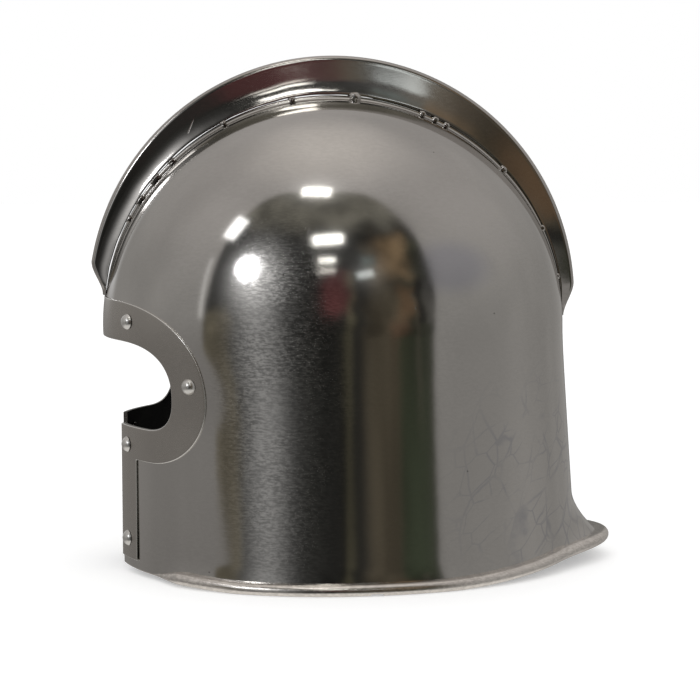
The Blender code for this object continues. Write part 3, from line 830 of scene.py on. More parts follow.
    @staticmethod
    def cover(
        graph: Graph, vector: Source, patches: Sequence[Union[Patch, Stroke]]
    ) -> bpy.types.NodeSocket:
        """The strongest of several patches or strokes, and 0 where there are none."""
        result = graph.node("ShaderNodeValue").outputs[0]
        result.default_value = 0.0
        for patch in patches:
            result = graph.math("MAXIMUM", result, patch.mask(graph, vector))
        return result


def dress(
    obj: bpy.types.Object,
    slot: Slot,
    nodes: Sequence[str] = (),
    material: Optional[bpy.types.Material] = None,
) -> None:
    """Puts a piece on the helmet.

    Args:
        obj: the piece.
        slot: the record's slot that its finish belongs to; it is not used.
        nodes: the CAD nodes that the piece stands for.
        material: its finish, where it doesn't have its finishes yet.
    """
    if material:
        obj.data.materials.clear()
        obj.data.materials.append(material)
    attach(obj, BODY)
    if nodes:
        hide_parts(*nodes)
    LOG.info("%s: %d faces", obj.name, len(obj.data.polygons))


@dataclass(frozen=True)
class Row:
    """One row of points on the skull's mesh."""

    face: Face
    place: float
    end: End = End.FRONT


@dataclass
class Skull:
    """The shell: its wall, dome and rolled rim in one sheet, cut open for the face."""

    form: SkullForm
    ridge_columns: int = 3
    cove_columns: int = 10
    side_columns: int = 74
    wall_rows: int = 44
    dome_rows: int = 128
    roll_rows: int = 16
    inner_wall_rows: int = 20
    inner_dome_rows: int = 60
    notch_y: float = 3.0 * MM
    notch_length: float = 7.0 * MM
    notch_depth: float = 1.2 * MM
    notch_inside: float = 6.0 * MM
    notch_outside: float = 12.0 * MM
    notch_below: float = 2.0 * MM
    notch_round: float = 0.8 * MM
    middle_reach: float = 0.001 * MM

    def columns(self, turn: float) -> list[float]:
        """Side angles from the middle plane to the side, close together over the cove."""
        form = self.form
        seam = form.seam(turn)
        across = [seam * share for share in steps(self.ridge_columns)]
        bends = [QUARTER * share for share in steps(self.cove_columns)[1:]]
        across += [seam + form.cove * (1.0 - math.cos(bend)) for bend in bends]
        angles = [math.asin(distance / form.half_width) for distance in across]
        rest = [mix(angles[-1], QUARTER, share) for share in steps(self.side_columns)[1:]]
        return angles + rest

    def rows(self) -> list[Row]:
        """The rows in order round the sheet: outside front to back, the roll, inside back to front."""
        wall = steps(self.wall_rows, 1.6)
        dome = [math.pi * share for share in steps(self.dome_rows)]
        roll = steps(self.roll_rows)
        inner_wall = steps(self.inner_wall_rows, 1.3)
        inner_dome = [math.pi * share for share in steps(self.inner_dome_rows)]
        rows = [Row(Face.OUTER_WALL, share, End.FRONT) for share in wall[:-1]]
        rows += [Row(Face.OUTER_DOME, turn) for turn in dome]
        rows += [Row(Face.OUTER_WALL, share, End.BACK) for share in reversed(wall[:-1])]
        rows += [Row(Face.ROLL, share, End.BACK) for share in roll[1:-1]]
        rows += [Row(Face.INNER_WALL, share, End.BACK) for share in inner_wall[:-1]]
        rows += [Row(Face.INNER_DOME, turn) for turn in reversed(inner_dome)]
        rows += [Row(Face.INNER_WALL, share, End.FRONT) for share in reversed(inner_wall[:-1])]
        rows += [Row(Face.ROLL, share, End.FRONT) for share in reversed(roll[1:-1])]
        return [*rows, rows[0]]

    def roll_circle(self, side: float, end: End) -> tuple[Vector, float, float]:
        """The roll's section at a place on the rim.

        Args:
            side: the side angle.
            end: the half of the wall.

        Returns:
            The circle's centre, its radius and the angle at which it leaves the wall's outside.
        """
        form = self.form
        cosine = max(math.cos(side), 0.0)
        fade = form.roll_fade(cosine, end)
        radius = mix(form.sheet / 2, form.roll_radius, fade)
        beyond = radius - form.sheet
        foot = form.wall(side, form.sheet_end(cosine, end), end)
        centre = foot + form.outward(side, foot.z, end) * beyond
        lift = mix(form.sheet / 2, form.roll_radius - form.worn_flat, fade)
        centre.z = form.rim_height(cosine, end) + lift
        return centre, radius, math.acos(-beyond / radius)

    def point(self, row: Row, side: float) -> Vector:
        """The place of a row's point at a side angle."""
        form = self.form
        if row.face is Face.OUTER_DOME:
            return form.dome(side, row.place)
        if row.face is Face.INNER_DOME:
            return form.dome(side, row.place) - form.dome_normal(side, row.place) * form.sheet
        centre, radius, start = self.roll_circle(side, row.end)
        if row.face is Face.OUTER_WALL:
            foot = centre.z + radius * math.sin(start)
            return form.wall(side, mix(foot, form.dome_level, row.place), row.end)
        if row.face is Face.INNER_WALL:
            height = mix(centre.z, form.dome_level, row.place)
            return form.wall(side, height, row.end) - form.outward(side, height, row.end) * form.sheet
        angle = mix(start, -math.pi, row.place)
        outward = form.outward(side, centre.z, row.end)
        point = centre + (outward * math.cos(angle) + Vector((0.0, 0.0, math.sin(angle)))) * radius
        point.z = max(point.z, 0.0)
        return point

    def build(
        self, openings: Sequence[bpy.types.Object], materials: Sequence[bpy.types.Material]
    ) -> bpy.types.Object:
        """Builds the shell.

        Args:
            openings: the cutters of the face opening, which are used up.
            materials: the finishes of the outside, the roll and the inside.

        Returns:
            The shell's object.
        """
        rows = self.rows()
        domes = (Face.OUTER_DOME, Face.INNER_DOME)
        sides = [self.columns(row.place if row.face in domes else 0.0) for row in rows]
        row_of: dict[int, int] = {}

        def place(row: int, column: int) -> Vector:
            row_of[len(row_of)] = row
            return self.point(rows[row], sides[row][column])

        shell = Bench.bent_grid("skull_shell", len(rows), len(sides[0]), place)
        for material in materials:
            shell.data.materials.append(material)
        for face in shell.data.polygons:
            highest = max(row_of[index] for index in face.vertices)
            lowest = min(row_of[index] for index in face.vertices)
            kinds = {rows[highest].face, rows[lowest].face}
            face.material_index = self.finish_of(kinds)
        for vert in shell.data.vertices:
            if abs(vert.co.x) < self.middle_reach:
                vert.co.x = 0.0
        Bench.merge(shell)
        Bench.modify(shell, "MIRROR", merge_threshold=MERGE_DISTANCE)
        Bench.merge(shell)
        for opening in openings:
            Bench.cut(shell, opening)
        Bench.cut(shell, self.notch())
        Bench.shade(shell)
        return shell

    @staticmethod
    def finish_of(kinds: set[Face]) -> int:
        """Which finish a face between these rows has: 0 outside, 1 on the roll, 2 inside."""
        if Face.ROLL in kinds:
            return 1
        return 2 if kinds & {Face.INNER_WALL, Face.INNER_DOME} else 0

    def notch(self) -> bpy.types.Object:
        """The cutter of the small chip under the near side's roll."""
        side = self.form.half_width
        half = self.notch_length / 2
        low = Vector((side - self.notch_inside, self.notch_y - half, -self.notch_below))
        high = Vector((side + self.notch_outside, self.notch_y + half, self.notch_depth))
        chip = Bench.box("notch", low, high)
        Bench.modify(chip, "BEVEL", width=self.notch_round, segments=3)
        return chip


@dataclass
class Comb:
    """The hollow folded comb, whose outer edge is an arc through three heights above the skull."""

    form: SkullForm
    sheet: float = 1.2 * MM
    gap: float = 0.3 * MM
    open_seam: float = 0.4 * MM
    open_share: float = 0.5
    open_swing: float = 0.4
    open_ripples: tuple[tuple[float, float, float], ...] = (
        (1.0, 9.0, 0.6),
        (0.7, 23.0, 0.0),
        (0.4, 51.0, 1.0),
    )
    heights: tuple[float, float, float] = (10.7 * MM, 21.5 * MM, 8.6 * MM)
    edge_radius: float = 2.7 * MM
    edge_most: float = 0.6
    front_flare: float = 1.80 * MM
    back_flare: float = 0.10 * MM
    flare_height: float = 9.0 * MM
    flare_fall: float = 1.25
    foot_share: float = 0.04
    front_foot: float = math.radians(7.6)
    front_corner: float = math.radians(15.2)
    back_corner: float = math.radians(170.5)
    back_foot: float = math.radians(178.4)
    end_height: float = 1.6 * MM
    end_sheet: float = 0.3
    end_stations: int = 22
    stations: int = 150
    flank_steps: int = 14
    edge_steps: int = 8

    def ends(self, turn: float) -> float:
        """1 along the comb, easing to 0 at its front and back feet."""
        front = (turn - self.front_foot) / (self.front_corner - self.front_foot)
        back = (self.back_foot - turn) / (self.back_foot - self.back_corner)
        return smooth(front) * smooth(back)

    def base(self, turn: float) -> float:
        """The comb's inner radius, just clear of the skull."""
        beside = math.asin((self.form.seam(turn) - self.sheet) / self.form.half_width)
        seat = self.form.dome(beside, turn)
        return math.hypot(seat.y - self.form.axis_y, seat.z - self.form.dome_level) + self.gap

    def open_gap(self, turn: float) -> float:
        """How much further the seam stands open at this turn, by ripples of a size, rate and phase."""
        ripple = sum(size * math.sin(rate * turn + phase) for size, rate, phase in self.open_ripples)
        return self.open_seam * smooth(self.open_share + self.open_swing * ripple) * self.ends(turn)

    def arc(self) -> tuple[Vector, float]:
        """The (back, up) centre and the radius of the comb's outer edge."""
        turns = (self.front_corner, QUARTER, self.back_corner)
        points = []
        for turn, height in zip(turns, self.heights):
            direction = Vector((-math.cos(turn), math.sin(turn)))
            points.append(direction * (self.base(turn) + height))
        front, crown, back = points
        to_crown = crown - front
        to_back = back - front
        twice_area = 2.0 * to_crown.cross(to_back)
        step = to_back * to_crown.length_squared - to_crown * to_back.length_squared
        centre = front + Vector((-step.y, step.x)) / -twice_area
        return centre, (front - centre).length

    def section(self, turn: float, centre: Vector, radius: float) -> list[tuple[float, float]]:
        """Half of the sheet's outer section there, as (across, radius) from the seam to the outer edge."""
        ease = self.ends(turn)
        half_width = self.form.seam(turn)
        base = self.base(turn)
        along = centre.dot(Vector((-math.cos(turn), math.sin(turn))))
        arc = along + math.sqrt(radius**2 - centre.length_squared + along**2)
        top = base + mix(self.end_height, arc - base, ease)
        edge = min(self.edge_radius, self.edge_most * (top - base), self.edge_most * half_width)
        foot = base + self.open_gap(turn)
        flare = mix(self.front_flare, self.back_flare, smooth(self.form.along(turn) * self.flare_fall))
        points = []
        flank = [mix(self.foot_share, 1.0, share) for share in steps(self.flank_steps)]
        for share in [0.0, self.foot_share / 2, *flank]:
            rise = max(share - self.foot_share, 0.0) / (1.0 - self.foot_share)
            spread = flare * max(1.0 - rise * (top - edge - foot) / self.flare_height, 0.0) ** 2
            points.append((mix(half_width - flare, edge, rise) + spread, mix(foot, top - edge, share)))
        for share in steps(self.edge_steps)[1:]:
            angle = QUARTER * share
            across = edge * math.cos(angle) if share < 1.0 else 0.0
            points.append((across, top - edge + edge * math.sin(angle)))
        return points

    def turns(self) -> list[float]:
        """The comb's stations, close together over its two ends."""
        front = [mix(self.front_foot, self.front_corner, share) for share in steps(self.end_stations)]
        middle = [mix(self.front_corner, self.back_corner, share) for share in steps(self.stations)[1:-1]]
        back = [mix(self.back_corner, self.back_foot, share) for share in steps(self.end_stations)]
        return front + middle + back

    def build(self) -> bpy.types.Object:
        """Builds the comb and returns its object."""
        centre, radius = self.arc()
        turns = self.turns()
        sections = [self.section(turn, centre, radius) for turn in turns]
        axis_y, level = self.form.axis_y, self.form.dome_level

        def place(row: int, column: int) -> Vector:
            across, reach = sections[row][column]
            turn = turns[row]
            return Vector((across, axis_y - reach * math.cos(turn), level + reach * math.sin(turn)))

        comb = Bench.bent_grid("comb_fold", len(turns), len(sections[0]), place)
        Bench.merge(comb)
        Bench.modify(comb, "MIRROR", merge_threshold=MERGE_DISTANCE)
        group = comb.vertex_groups.new(name="full_sheet")
        for vert in comb.data.vertices:
            turn = math.atan2(vert.co.z - level, axis_y - vert.co.y) % (2.0 * math.pi)
            group.add([vert.index], self.ends(turn), "REPLACE")
        Bench.turn_outward(comb, self.form.middle)
        Bench.modify(
            comb,
            "SOLIDIFY",
            thickness=self.sheet,
            offset=-1.0,
            use_even_offset=True,
            vertex_group=group.name,
            thickness_vertex_group=self.end_sheet,
        )
        Bench.shade(comb)
        return comb


@dataclass(frozen=True)
class Bead:
    """One blob of weld on the comb's seam: its turn, its half length along the seam and its height."""

    turn: float
    half_length: float
    height: float


@dataclass
class Welds:
    """The small welds that hold the comb, on both sides of it."""

    comb: Comb
    beads: Sequence[Bead]
    breadth: float = 1.1
    lump: float = 0.15
    lump_rates: tuple[float, float] = (6.0, 5.0)
    rings: int = 10
    segments: int = 16

    def place(self, bead: Bead, side: float) -> Matrix:
        """The bead's frame: Z up off the seam, X along it."""
        form = self.comb.form
        turn = math.radians(bead.turn)
        across = form.seam(turn)
        beside = math.asin(across / form.half_width)
        seat = form.dome(beside, turn)
        along = Vector((0.0, math.sin(turn), math.cos(turn)))
        radial = Vector((0.0, -math.cos(turn), math.sin(turn)))
        outward = (radial + Vector((1.0, 0.0, 0.0))).normalized()
        cross = outward.cross(along)
        frame = Matrix((along, cross, outward)).transposed().to_4x4()
        frame.translation = seat
        flip = Matrix.Diagonal((side, 1.0, 1.0, 1.0))
        return flip @ frame

    def build(self) -> bpy.types.Object:
        """Builds all the beads as one object."""
        blobs = []
        rate_x, rate_y = self.lump_rates
        for number, bead in enumerate(self.beads):
            for side in (1.0, -1.0):
                Bench.clear_selection()
                bpy.ops.mesh.primitive_uv_sphere_add(
                    segments=self.segments, ring_count=self.rings, radius=1.0
                )
                blob = bpy.context.active_object
                for vert in blob.data.vertices:
                    ripple = math.sin(rate_x * vert.co.x + number)
                    ripple *= math.sin(rate_y * vert.co.y + side * number)
                    vert.co *= 1.0 + self.lump * ripple
                size = Matrix.Diagonal((bead.half_length, bead.height * self.breadth, bead.height, 1.0))
                blob.data.transform(self.place(bead, side) @ size)
                blobs.append(blob)
        welds = Bench.join(blobs, "comb_welds")
        Bench.edit(welds, lambda: bpy.ops.mesh.normals_make_consistent(inside=False))
        Bench.shade(welds, math.pi)
        return welds


@dataclass
class FaceOpening:
    """The T-shaped opening: two eyes that meet across the front, and a slit below."""

    form: SkullForm
    slit_half_width: float = 22.0 * MM
    depth: float = 37.0 * MM
    level: float = 97.5 * MM
    top: float = 127.6 * MM
    bottom: float = 81.0 * MM
    top_round: float = 29.5 * MM
    bottom_round: float = 13.5 * MM
    corner_power: float = 2.4
    margin: float = 20.0 * MM
    outline_steps: int = 26

    @property
    def back(self) -> float:
        """How far ahead of the dome's axis the eyes end."""
        return self.form.front_reach - self.depth

    def cutters(self) -> list[bpy.types.Object]:
        """The two prisms that cut the opening."""
        form = self.form
        front = form.front_reach + self.margin
        upper = []
        lower = []
        for share in steps(self.outline_steps):
            angle = QUARTER * share
            along = math.cos(angle) ** (2.0 / self.corner_power)
            up = math.sin(angle) ** (2.0 / self.corner_power)
            upper.append((self.back + self.top_round * (1.0 - along), mix(self.level, self.top, up)))
            lower.append((self.back + self.bottom_round * (1.0 - along), mix(self.level, self.bottom, up)))
        profile = [(front, self.top), *reversed(upper), *lower[1:], (front, self.bottom)]
        half_length = form.half_width + self.margin
        outline = [Vector((-half_length, form.axis_y - ahead, height)) for ahead, height in profile]
        eyes = Bench.prism("cut_eyes", outline, Vector((2.0 * half_length, 0.0, 0.0)))
        slit = Bench.box(
            "cut_slit",
            Vector((-self.slit_half_width, form.axis_y - front, -self.margin)),
            Vector((self.slit_half_width, form.axis_y - self.back, (self.bottom + self.level) / 2)),
        )
        return [eyes, slit]


@dataclass
class FaceBand:
    """The band round the opening, laid on the skull as one strip from slit foot to slit foot."""

    opening: FaceOpening
    sheet: float = 0.75 * MM
    gap: float = 0.15 * MM
    temple_width: float = 17.5 * MM
    brow_width: float = 21.2 * MM
    cheek_width: float = 17.6 * MM
    top_round: float = 49.0 * MM
    bottom_round: float = 29.0 * MM
    corner_power: float = 2.0
    strip_width: float = 19.3 * MM
    foot: float = 8.3 * MM
    edge_round: float = 0.42 * MM
    edge_angle: float = math.radians(50.0)
    least_across: float = 0.6 * MM
    lifted_edge: float = 0.25 * MM
    lift_top: float = 52.0 * MM
    strip_steps: int = 36
    cheek_steps: int = 12
    lower_steps: int = 30
    upper_steps: int = 42
    brow_steps: int = 22
    across_steps: int = 14

    @property
    def top(self) -> float:
        """The height of the band's upper edge over the brow."""
        return self.opening.top + self.brow_width

    @property
    def bottom(self) -> float:
        """The height of the band's lower edge on the cheek."""
        return self.opening.bottom - self.cheek_width

    def edge(self, outer: bool) -> list[Vector]:
        """The inner or the outer edge's points, from the strip's foot up, round the eye and to the brow.

        Args:
            outer: whether it is the outer edge.

        Returns:
            Points on or near the skull's outside, with as many for either edge.
        """
        form, eye = self.opening.form, self.opening
        grown = self.temple_width if outer else 0.0
        back = eye.back - grown
        top, bottom = (self.top, self.bottom) if outer else (eye.top, eye.bottom)
        top_round, bottom_round = (
            (self.top_round, self.bottom_round) if outer else (eye.top_round, eye.bottom_round)
        )
        power = self.corner_power if outer else eye.corner_power
        strip = eye.slit_half_width + (self.strip_width if outer else 0.0)
        points = [(strip, mix(self.foot, bottom, share)) for share in steps(self.strip_steps)]
        cheek_end = form.across_at(back + bottom_round, bottom)
        points += [(mix(strip, cheek_end, share), bottom) for share in steps(self.cheek_steps)[1:]]
        for share in steps(self.lower_steps)[1:]:
            angle = QUARTER * (1.0 - share)
            along = math.cos(angle) ** (2.0 / power)
            height = mix(eye.level, bottom, math.sin(angle) ** (2.0 / power))
            points.append((form.across_at(back + bottom_round * (1.0 - along), height), height))
        for share in steps(self.upper_steps)[1:]:
            angle = QUARTER * share
            along = math.cos(angle) ** (2.0 / power)
            height = mix(eye.level, top, math.sin(angle) ** (2.0 / power))
            points.append((form.across_at(back + top_round * (1.0 - along), height), height))
        brow_start = points[-1][0]
        points += [(mix(brow_start, 0.0, share), top) for share in steps(self.brow_steps)[1:]]
        return [Vector((across, height)) for across, height in points]

    def build(self, materials: Sequence[bpy.types.Material]) -> bpy.types.Object:
        """Builds the band with the finishes of its face and of its edges, whose tint is wear and a painted
        highlight, and returns its object.
        """
        inner = self.edge(outer=False)
        outer = self.edge(outer=True)
        form = self.opening.form

        def place(row: int, column: int) -> Vector:
            share = column / self.across_steps
            spot = inner[row].lerp(outer[row], share)
            surface = form.front(max(spot.x, 0.0), spot.y)
            low = smooth((self.lift_top - spot.y) / (self.lift_top - self.foot))
            lift = self.gap + self.lifted_edge * low * share**2
            point = surface + form.front_normal(max(spot.x, self.least_across), spot.y) * lift
            if row == len(inner) - 1:
                point.x = 0.0
            return point

        band = Bench.bent_grid("face_band_sheet", len(inner), self.across_steps + 1, place)
        Bench.merge(band)
        Bench.modify(band, "MIRROR", merge_threshold=MERGE_DISTANCE)
        Bench.turn_outward(band, form.middle)
        Bench.modify(band, "SOLIDIFY", thickness=self.sheet, offset=1.0, use_even_offset=True)
        for material in materials:
            band.data.materials.append(material)
        # The bevels take the second finish, whose near-white tint paints the edges' highlight as well as
        # their wear.
        Bench.modify(
            band,
            "BEVEL",
            width=self.edge_round,
            segments=4,
            limit_method="ANGLE",
            angle_limit=self.edge_angle,
            material=1,
        )
        Bench.shade(band)
        return band


@dataclass
class Rivets:
    """The eight dome-headed rivets and their peened tails."""

    band: FaceBand
    head_radius: float = 4.25 * MM
    head_height: float = 2.9 * MM
    head_edge: float = 0.45 * MM
    shank_radius: float = 2.0 * MM
    tail_radius: float = 3.2 * MM
    tail_height: float = 1.2 * MM
    tail_gap: float = 0.7 * MM
    tail_round: tuple[tuple[float, float], ...] = ((0.2, 0.0), (0.7, 0.1), (0.93, 0.35), (1.0, 0.7))
    edge_lift: float = 0.25
    dome_lift: float = 0.15
    dome_share: float = 0.96
    tip_share: float = 0.02
    sharp_angle: float = math.radians(50.0)
    brow_across: float = 44.8 * MM
    brow_drop: float = 10.6 * MM
    temple_above: float = 9.2 * MM
    cheek_drop: float = 10.4 * MM
    chin_rise: float = 10.9 * MM
    sides: int = 40
    dome_steps: int = 9

    def places(self) -> dict[str, tuple[float, float]]:
        """Each rivet's distance from the middle plane and height."""
        band, eye = self.band, self.band.opening
        form = eye.form
        strip_middle = eye.slit_half_width + band.strip_width / 2
        temple_height = eye.level + self.temple_above
        temple_ahead = eye.back - band.temple_width / 2
        return {
            "brow": (self.brow_across, band.top - self.brow_drop),
            "temple": (form.across_at(temple_ahead, temple_height), temple_height),
            "cheek": (strip_middle, eye.bottom - self.cheek_drop),
            "chin": (strip_middle, band.foot + self.chin_rise),
        }

    def profile(self) -> list[tuple[float, float]]:
        """The rivet's turned profile from its tail up, with its head's seat at height 0."""
        form = self.band.opening.form
        grip = self.band.sheet + form.sheet + 2.0 * self.band.gap + self.tail_gap
        low = -grip - self.tail_height
        bulge = (self.head_radius**2 + self.head_height**2) / (2.0 * self.head_height)
        half_angle = math.asin(self.head_radius / bulge)
        points = [(wide * self.tail_radius, low + up * self.tail_height) for wide, up in self.tail_round]
        points += [
            (self.tail_radius, -grip),
            (self.shank_radius, -grip),
            (self.shank_radius, 0.0),
            (self.head_radius - self.head_edge, 0.0),
            (self.head_radius, self.edge_lift * self.head_edge),
        ]
        for step in range(self.dome_steps):
            angle = half_angle * (self.dome_share - self.dome_share * step / self.dome_steps)
            height = self.head_height - bulge * (1.0 - math.cos(angle))
            points.append((bulge * math.sin(angle), height + self.dome_lift * self.head_edge))
        points.append((self.tip_share * self.head_radius, self.head_height))
        return points

    def frame(self, across: float, height: float, side: float) -> Matrix:
        """The rivet's place on the band, with its own Z along the outward direction."""
        form = self.band.opening.form
        normal = form.front_normal(across, height)
        spot = form.front(across, height) + normal * (self.band.sheet + 2.0 * self.band.gap)
        normal.x *= side
        spot.x *= side
        return Matrix.Translation(spot) @ normal.to_track_quat("Z", "Y").to_matrix().to_4x4()

    def build(self) -> dict[str, bpy.types.Object]:
        """Builds the rivets and returns them by the CAD nodes that they stand for."""
        first = Bench.lathe("rivet", self.profile(), self.sides)
        made = {}
        for name, (across, height) in self.places().items():
            for side, side_name in ((1.0, "left"), (-1.0, "right")):
                rivet = first.copy()
                rivet.data = first.data.copy()
                rivet.name = f"dome_rivet_{name}_{side_name}"
                bpy.context.scene.collection.objects.link(rivet)
                rivet.data.transform(self.frame(across, height, side))
                Bench.shade(rivet, self.sharp_angle)
                made[f"rivet_{name}_{side_name}"] = rivet
        bpy.data.objects.remove(first)
        return made


@dataclass(frozen=True)
class Lamp:
    """A soft light, by its direction from the helmet and how large it looks from there."""

    name: str
    azimuth: float
    elevation: float
    width: float
    height: float
    radiance: float
    roll: float = 0.0
    round_shape: bool = False
    colour: Colour = (1.0, 1.0, 1.0)


def direction(azimuth: float, elevation: float) -> Vector:
    """The way to azimuth and elevation in degrees, where azimuth 0 is the front and 90 the left."""
    turn, lift = math.radians(azimuth), math.radians(elevation)
    return Vector((math.sin(turn) * math.cos(lift), -math.cos(turn) * math.cos(lift), math.sin(lift)))


@dataclass(frozen=True)
class Panel:
    """A soft-edged upright panel of the room, by its direction from the helmet in degrees."""

    azimuth: float
    elevation: float
    half_width: float
    half_height: float
    soft: float
    colour: Colour

    def mask(self, graph: Graph, azimuth: Source, elevation: Source) -> bpy.types.NodeSocket:
        """1 in the panel, falling to 0 over its soft edges."""
        across = graph.math("ABSOLUTE", graph.math("SUBTRACT", azimuth, self.azimuth))
        along = graph.math("ABSOLUTE", graph.math("SUBTRACT", elevation, self.elevation))
        wide = graph.ramp(across, self.half_width - self.soft, self.half_width + self.soft, 1.0, 0.0)
        high = graph.ramp(along, self.half_height - self.soft, self.half_height + self.soft, 1.0, 0.0)
        return graph.math("MULTIPLY", wide, high)


@dataclass(frozen=True)
class Glow:
    """A soft round light without an edge, by its direction and its spread in degrees."""

    azimuth: float
    elevation: float
    spread_across: float
    spread_up: float
    level: float

    def value(self, graph: Graph, azimuth: Source, elevation: Source) -> bpy.types.NodeSocket:
        """The light's level in a direction."""
        across = graph.math("DIVIDE", graph.math("SUBTRACT", azimuth, self.azimuth), self.spread_across)
        along = graph.math("DIVIDE", graph.math("SUBTRACT", elevation, self.elevation), self.spread_up)
        square = graph.math("MULTIPLY_ADD", across, across, graph.math("MULTIPLY", along, along))
        fall = graph.math("EXPONENT", graph.math("MULTIPLY", square, -1.0))
        return graph.math("MULTIPLY", fall, self.level)


@dataclass(frozen=True)
class Recess:
    """A dark recess of the room with a rounded top, by its middle, half width and top in degrees."""

    azimuth: float
    half_width: float
    top: float
    roundness: float = 4.0
    soft: tuple[float, float] = (0.90, 1.08)

    def mask(self, graph: Graph, azimuth: Source, elevation: Source) -> bpy.types.NodeSocket:
        """1 inside the recess."""
        off = graph.math("ABSOLUTE", graph.math("SUBTRACT", azimuth, self.azimuth))
        across = graph.math("DIVIDE", off, self.half_width)
        up = graph.math("DIVIDE", graph.math("MAXIMUM", elevation, 0.0), self.top)
        power = self.roundness
        size = graph.math("ADD", graph.math("POWER", across, power), graph.math("POWER", up, power))
        return graph.ramp(size, *self.soft, 1.0, 0.0)


@dataclass
class Studio:
    """The pale floor, the soft surroundings, the lamps and the camera."""

    floor_half: float = 6.0
    floor_drop: float = 0.1 * MM
    floor_grey: float = 0.86
    floor_roughness: float = 0.9
    floor_glow: float = 0.35
    lamp_distance: float = 3.0
    aim: Vector = field(default_factory=lambda: Vector((0.085, -0.03, 0.16)))
    camera_azimuth: float = 85.0
    camera_elevation: float = 6.0
    camera_distance: float = 1.14
    camera_target: Vector = field(default_factory=lambda: Vector((0.0, -0.0023, 0.1173)))
    lens: float = 104.7
    sensor_width: float = 36.0
    wall_low: Colour = (0.255, 0.245, 0.235)
    wall_middle: Colour = (0.335, 0.325, 0.312)
    wall_high: Colour = (0.44, 0.42, 0.405)
    ceiling: Colour = (0.74, 0.70, 0.66)
    ground: Colour = (0.66, 0.64, 0.61)
    backdrop: Colour = (1.0, 1.0, 1.0)
    fill: Colour = (0.95, 0.95, 0.95)
    ground_edge: tuple[float, float] = (-48.0, -22.0)
    low_edge: tuple[float, float] = (-14.0, 4.0)
    front_edge: tuple[float, float] = (-0.85, 0.2)
    low_behind: float = 0.25
    high_edge: tuple[float, float] = (5.0, 50.0)
    ceiling_edge: tuple[float, float] = (52.0, 88.0)
    cloud_scale: float = 1.6
    cloud_range: tuple[float, float] = (0.92, 1.08)
    recess_colour: Colour = (0.026, 0.026, 0.024)
    recess: Recess = Recess(81.4, 48.5, 60.0)
    recess_lean: float = 0.13
    recess_lean_top: float = 12.0
    left_heights: tuple[float, float] = (-13.5, -8.5)
    left_azimuths: tuple[float, float] = (42.5, 32.8)
    left_soft: float = 1.2
    drape_scale: float = 6.0
    drape_across: float = 9.0
    drape_up: float = 14.0
    mottle_range: tuple[float, float] = (0.6, 1.35)
    panels: Sequence[Panel] = (
        Panel(82.0, 56.0, 50.0, 15.0, 5.0, (0.160, 0.152, 0.128)),
        Panel(38.5, -16.0, 7.0, 21.0, 3.0, (0.155, 0.137, 0.099)),
        Panel(96.0, -2.0, 1.6, 22.0, 1.2, (0.100, 0.092, 0.062)),
        Panel(112.0, 4.0, 9.5, 30.0, 3.5, (0.082, 0.070, 0.050)),
        Panel(124.5, 0.0, 6.0, 34.0, 2.5, (0.045, 0.047, 0.034)),
        Panel(115.0, 28.0, 7.0, 9.0, 3.5, (0.200, 0.140, 0.082)),
        Panel(119.0, 8.0, 4.0, 6.0, 2.5, (0.130, 0.086, 0.052)),
        Panel(90.0, 13.0, 5.2, 8.0, 2.6, (0.092, 0.036, 0.036)),
        Panel(104.0, 26.0, 3.0, 3.0, 2.0, (0.150, 0.190, 0.180)),
        Panel(115.5, -2.0, 3.2, 4.0, 1.8, (0.100, 0.066, 0.044)),
        Panel(120.5, -12.0, 4.5, 6.0, 2.0, (0.046, 0.056, 0.036)),
        Panel(122.3, 1.0, 0.9, 10.0, 0.8, (0.105, 0.098, 0.075)),
        Panel(128.8, 9.0, 2.6, 9.0, 1.2, (0.085, 0.082, 0.075)),
        Panel(124.2, 9.0, 1.6, 10.0, 0.9, (0.016, 0.016, 0.016)),
    )
    frame_edge: Panel = Panel(31.4, 14.0, 0.9, 12.0, 1.3, (0.80, 0.79, 0.77))
    far_panels: Sequence[Panel] = (
        Panel(-96.0, 4.0, 15.0, 21.0, 7.0, (0.160, 0.157, 0.150)),
        Panel(-62.0, 11.0, 8.0, 12.0, 6.0, (0.640, 0.640, 0.640)),
    )
    glows: Sequence[Glow] = (
        Glow(55.5, 19.5, 10.5, 12.0, 0.90),
        Glow(59.0, -5.0, 10.0, 16.0, 0.30),
        Glow(78.0, 62.0, 18.0, 6.0, 0.25),
        Glow(104.0, 22.0, 7.0, 8.0, 0.10),
    )
    lamps: Sequence[Lamp] = (
        Lamp("key", 50.8, 23.2, 9.6, 9.6, 9.0, round_shape=True, colour=(0.96, 0.97, 1.0)),
        Lamp("high_strip", 79.5, 61.0, 10.5, 4.6, 4.0, colour=(1.0, 0.99, 0.94)),
        Lamp("front_strip", 36.5, 39.5, 6.4, 9.6, 2.4, roll=-14.0),
        Lamp("middle_strip", 87.5, 37.0, 12.0, 4.6, 4.0, roll=4.0, colour=(1.0, 0.99, 0.94)),
        Lamp("low_strip", 87.0, 27.4, 7.0, 2.4, 3.0, colour=(1.0, 0.99, 0.93)),
        Lamp("lowest_strip", 87.0, 22.8, 7.0, 1.8, 1.4, colour=(1.0, 0.97, 0.90)),
        Lamp("small_strip", 103.4, 20.6, 6.4, 3.0, 0.9, roll=10.0, colour=(0.92, 1.0, 1.0)),
    )

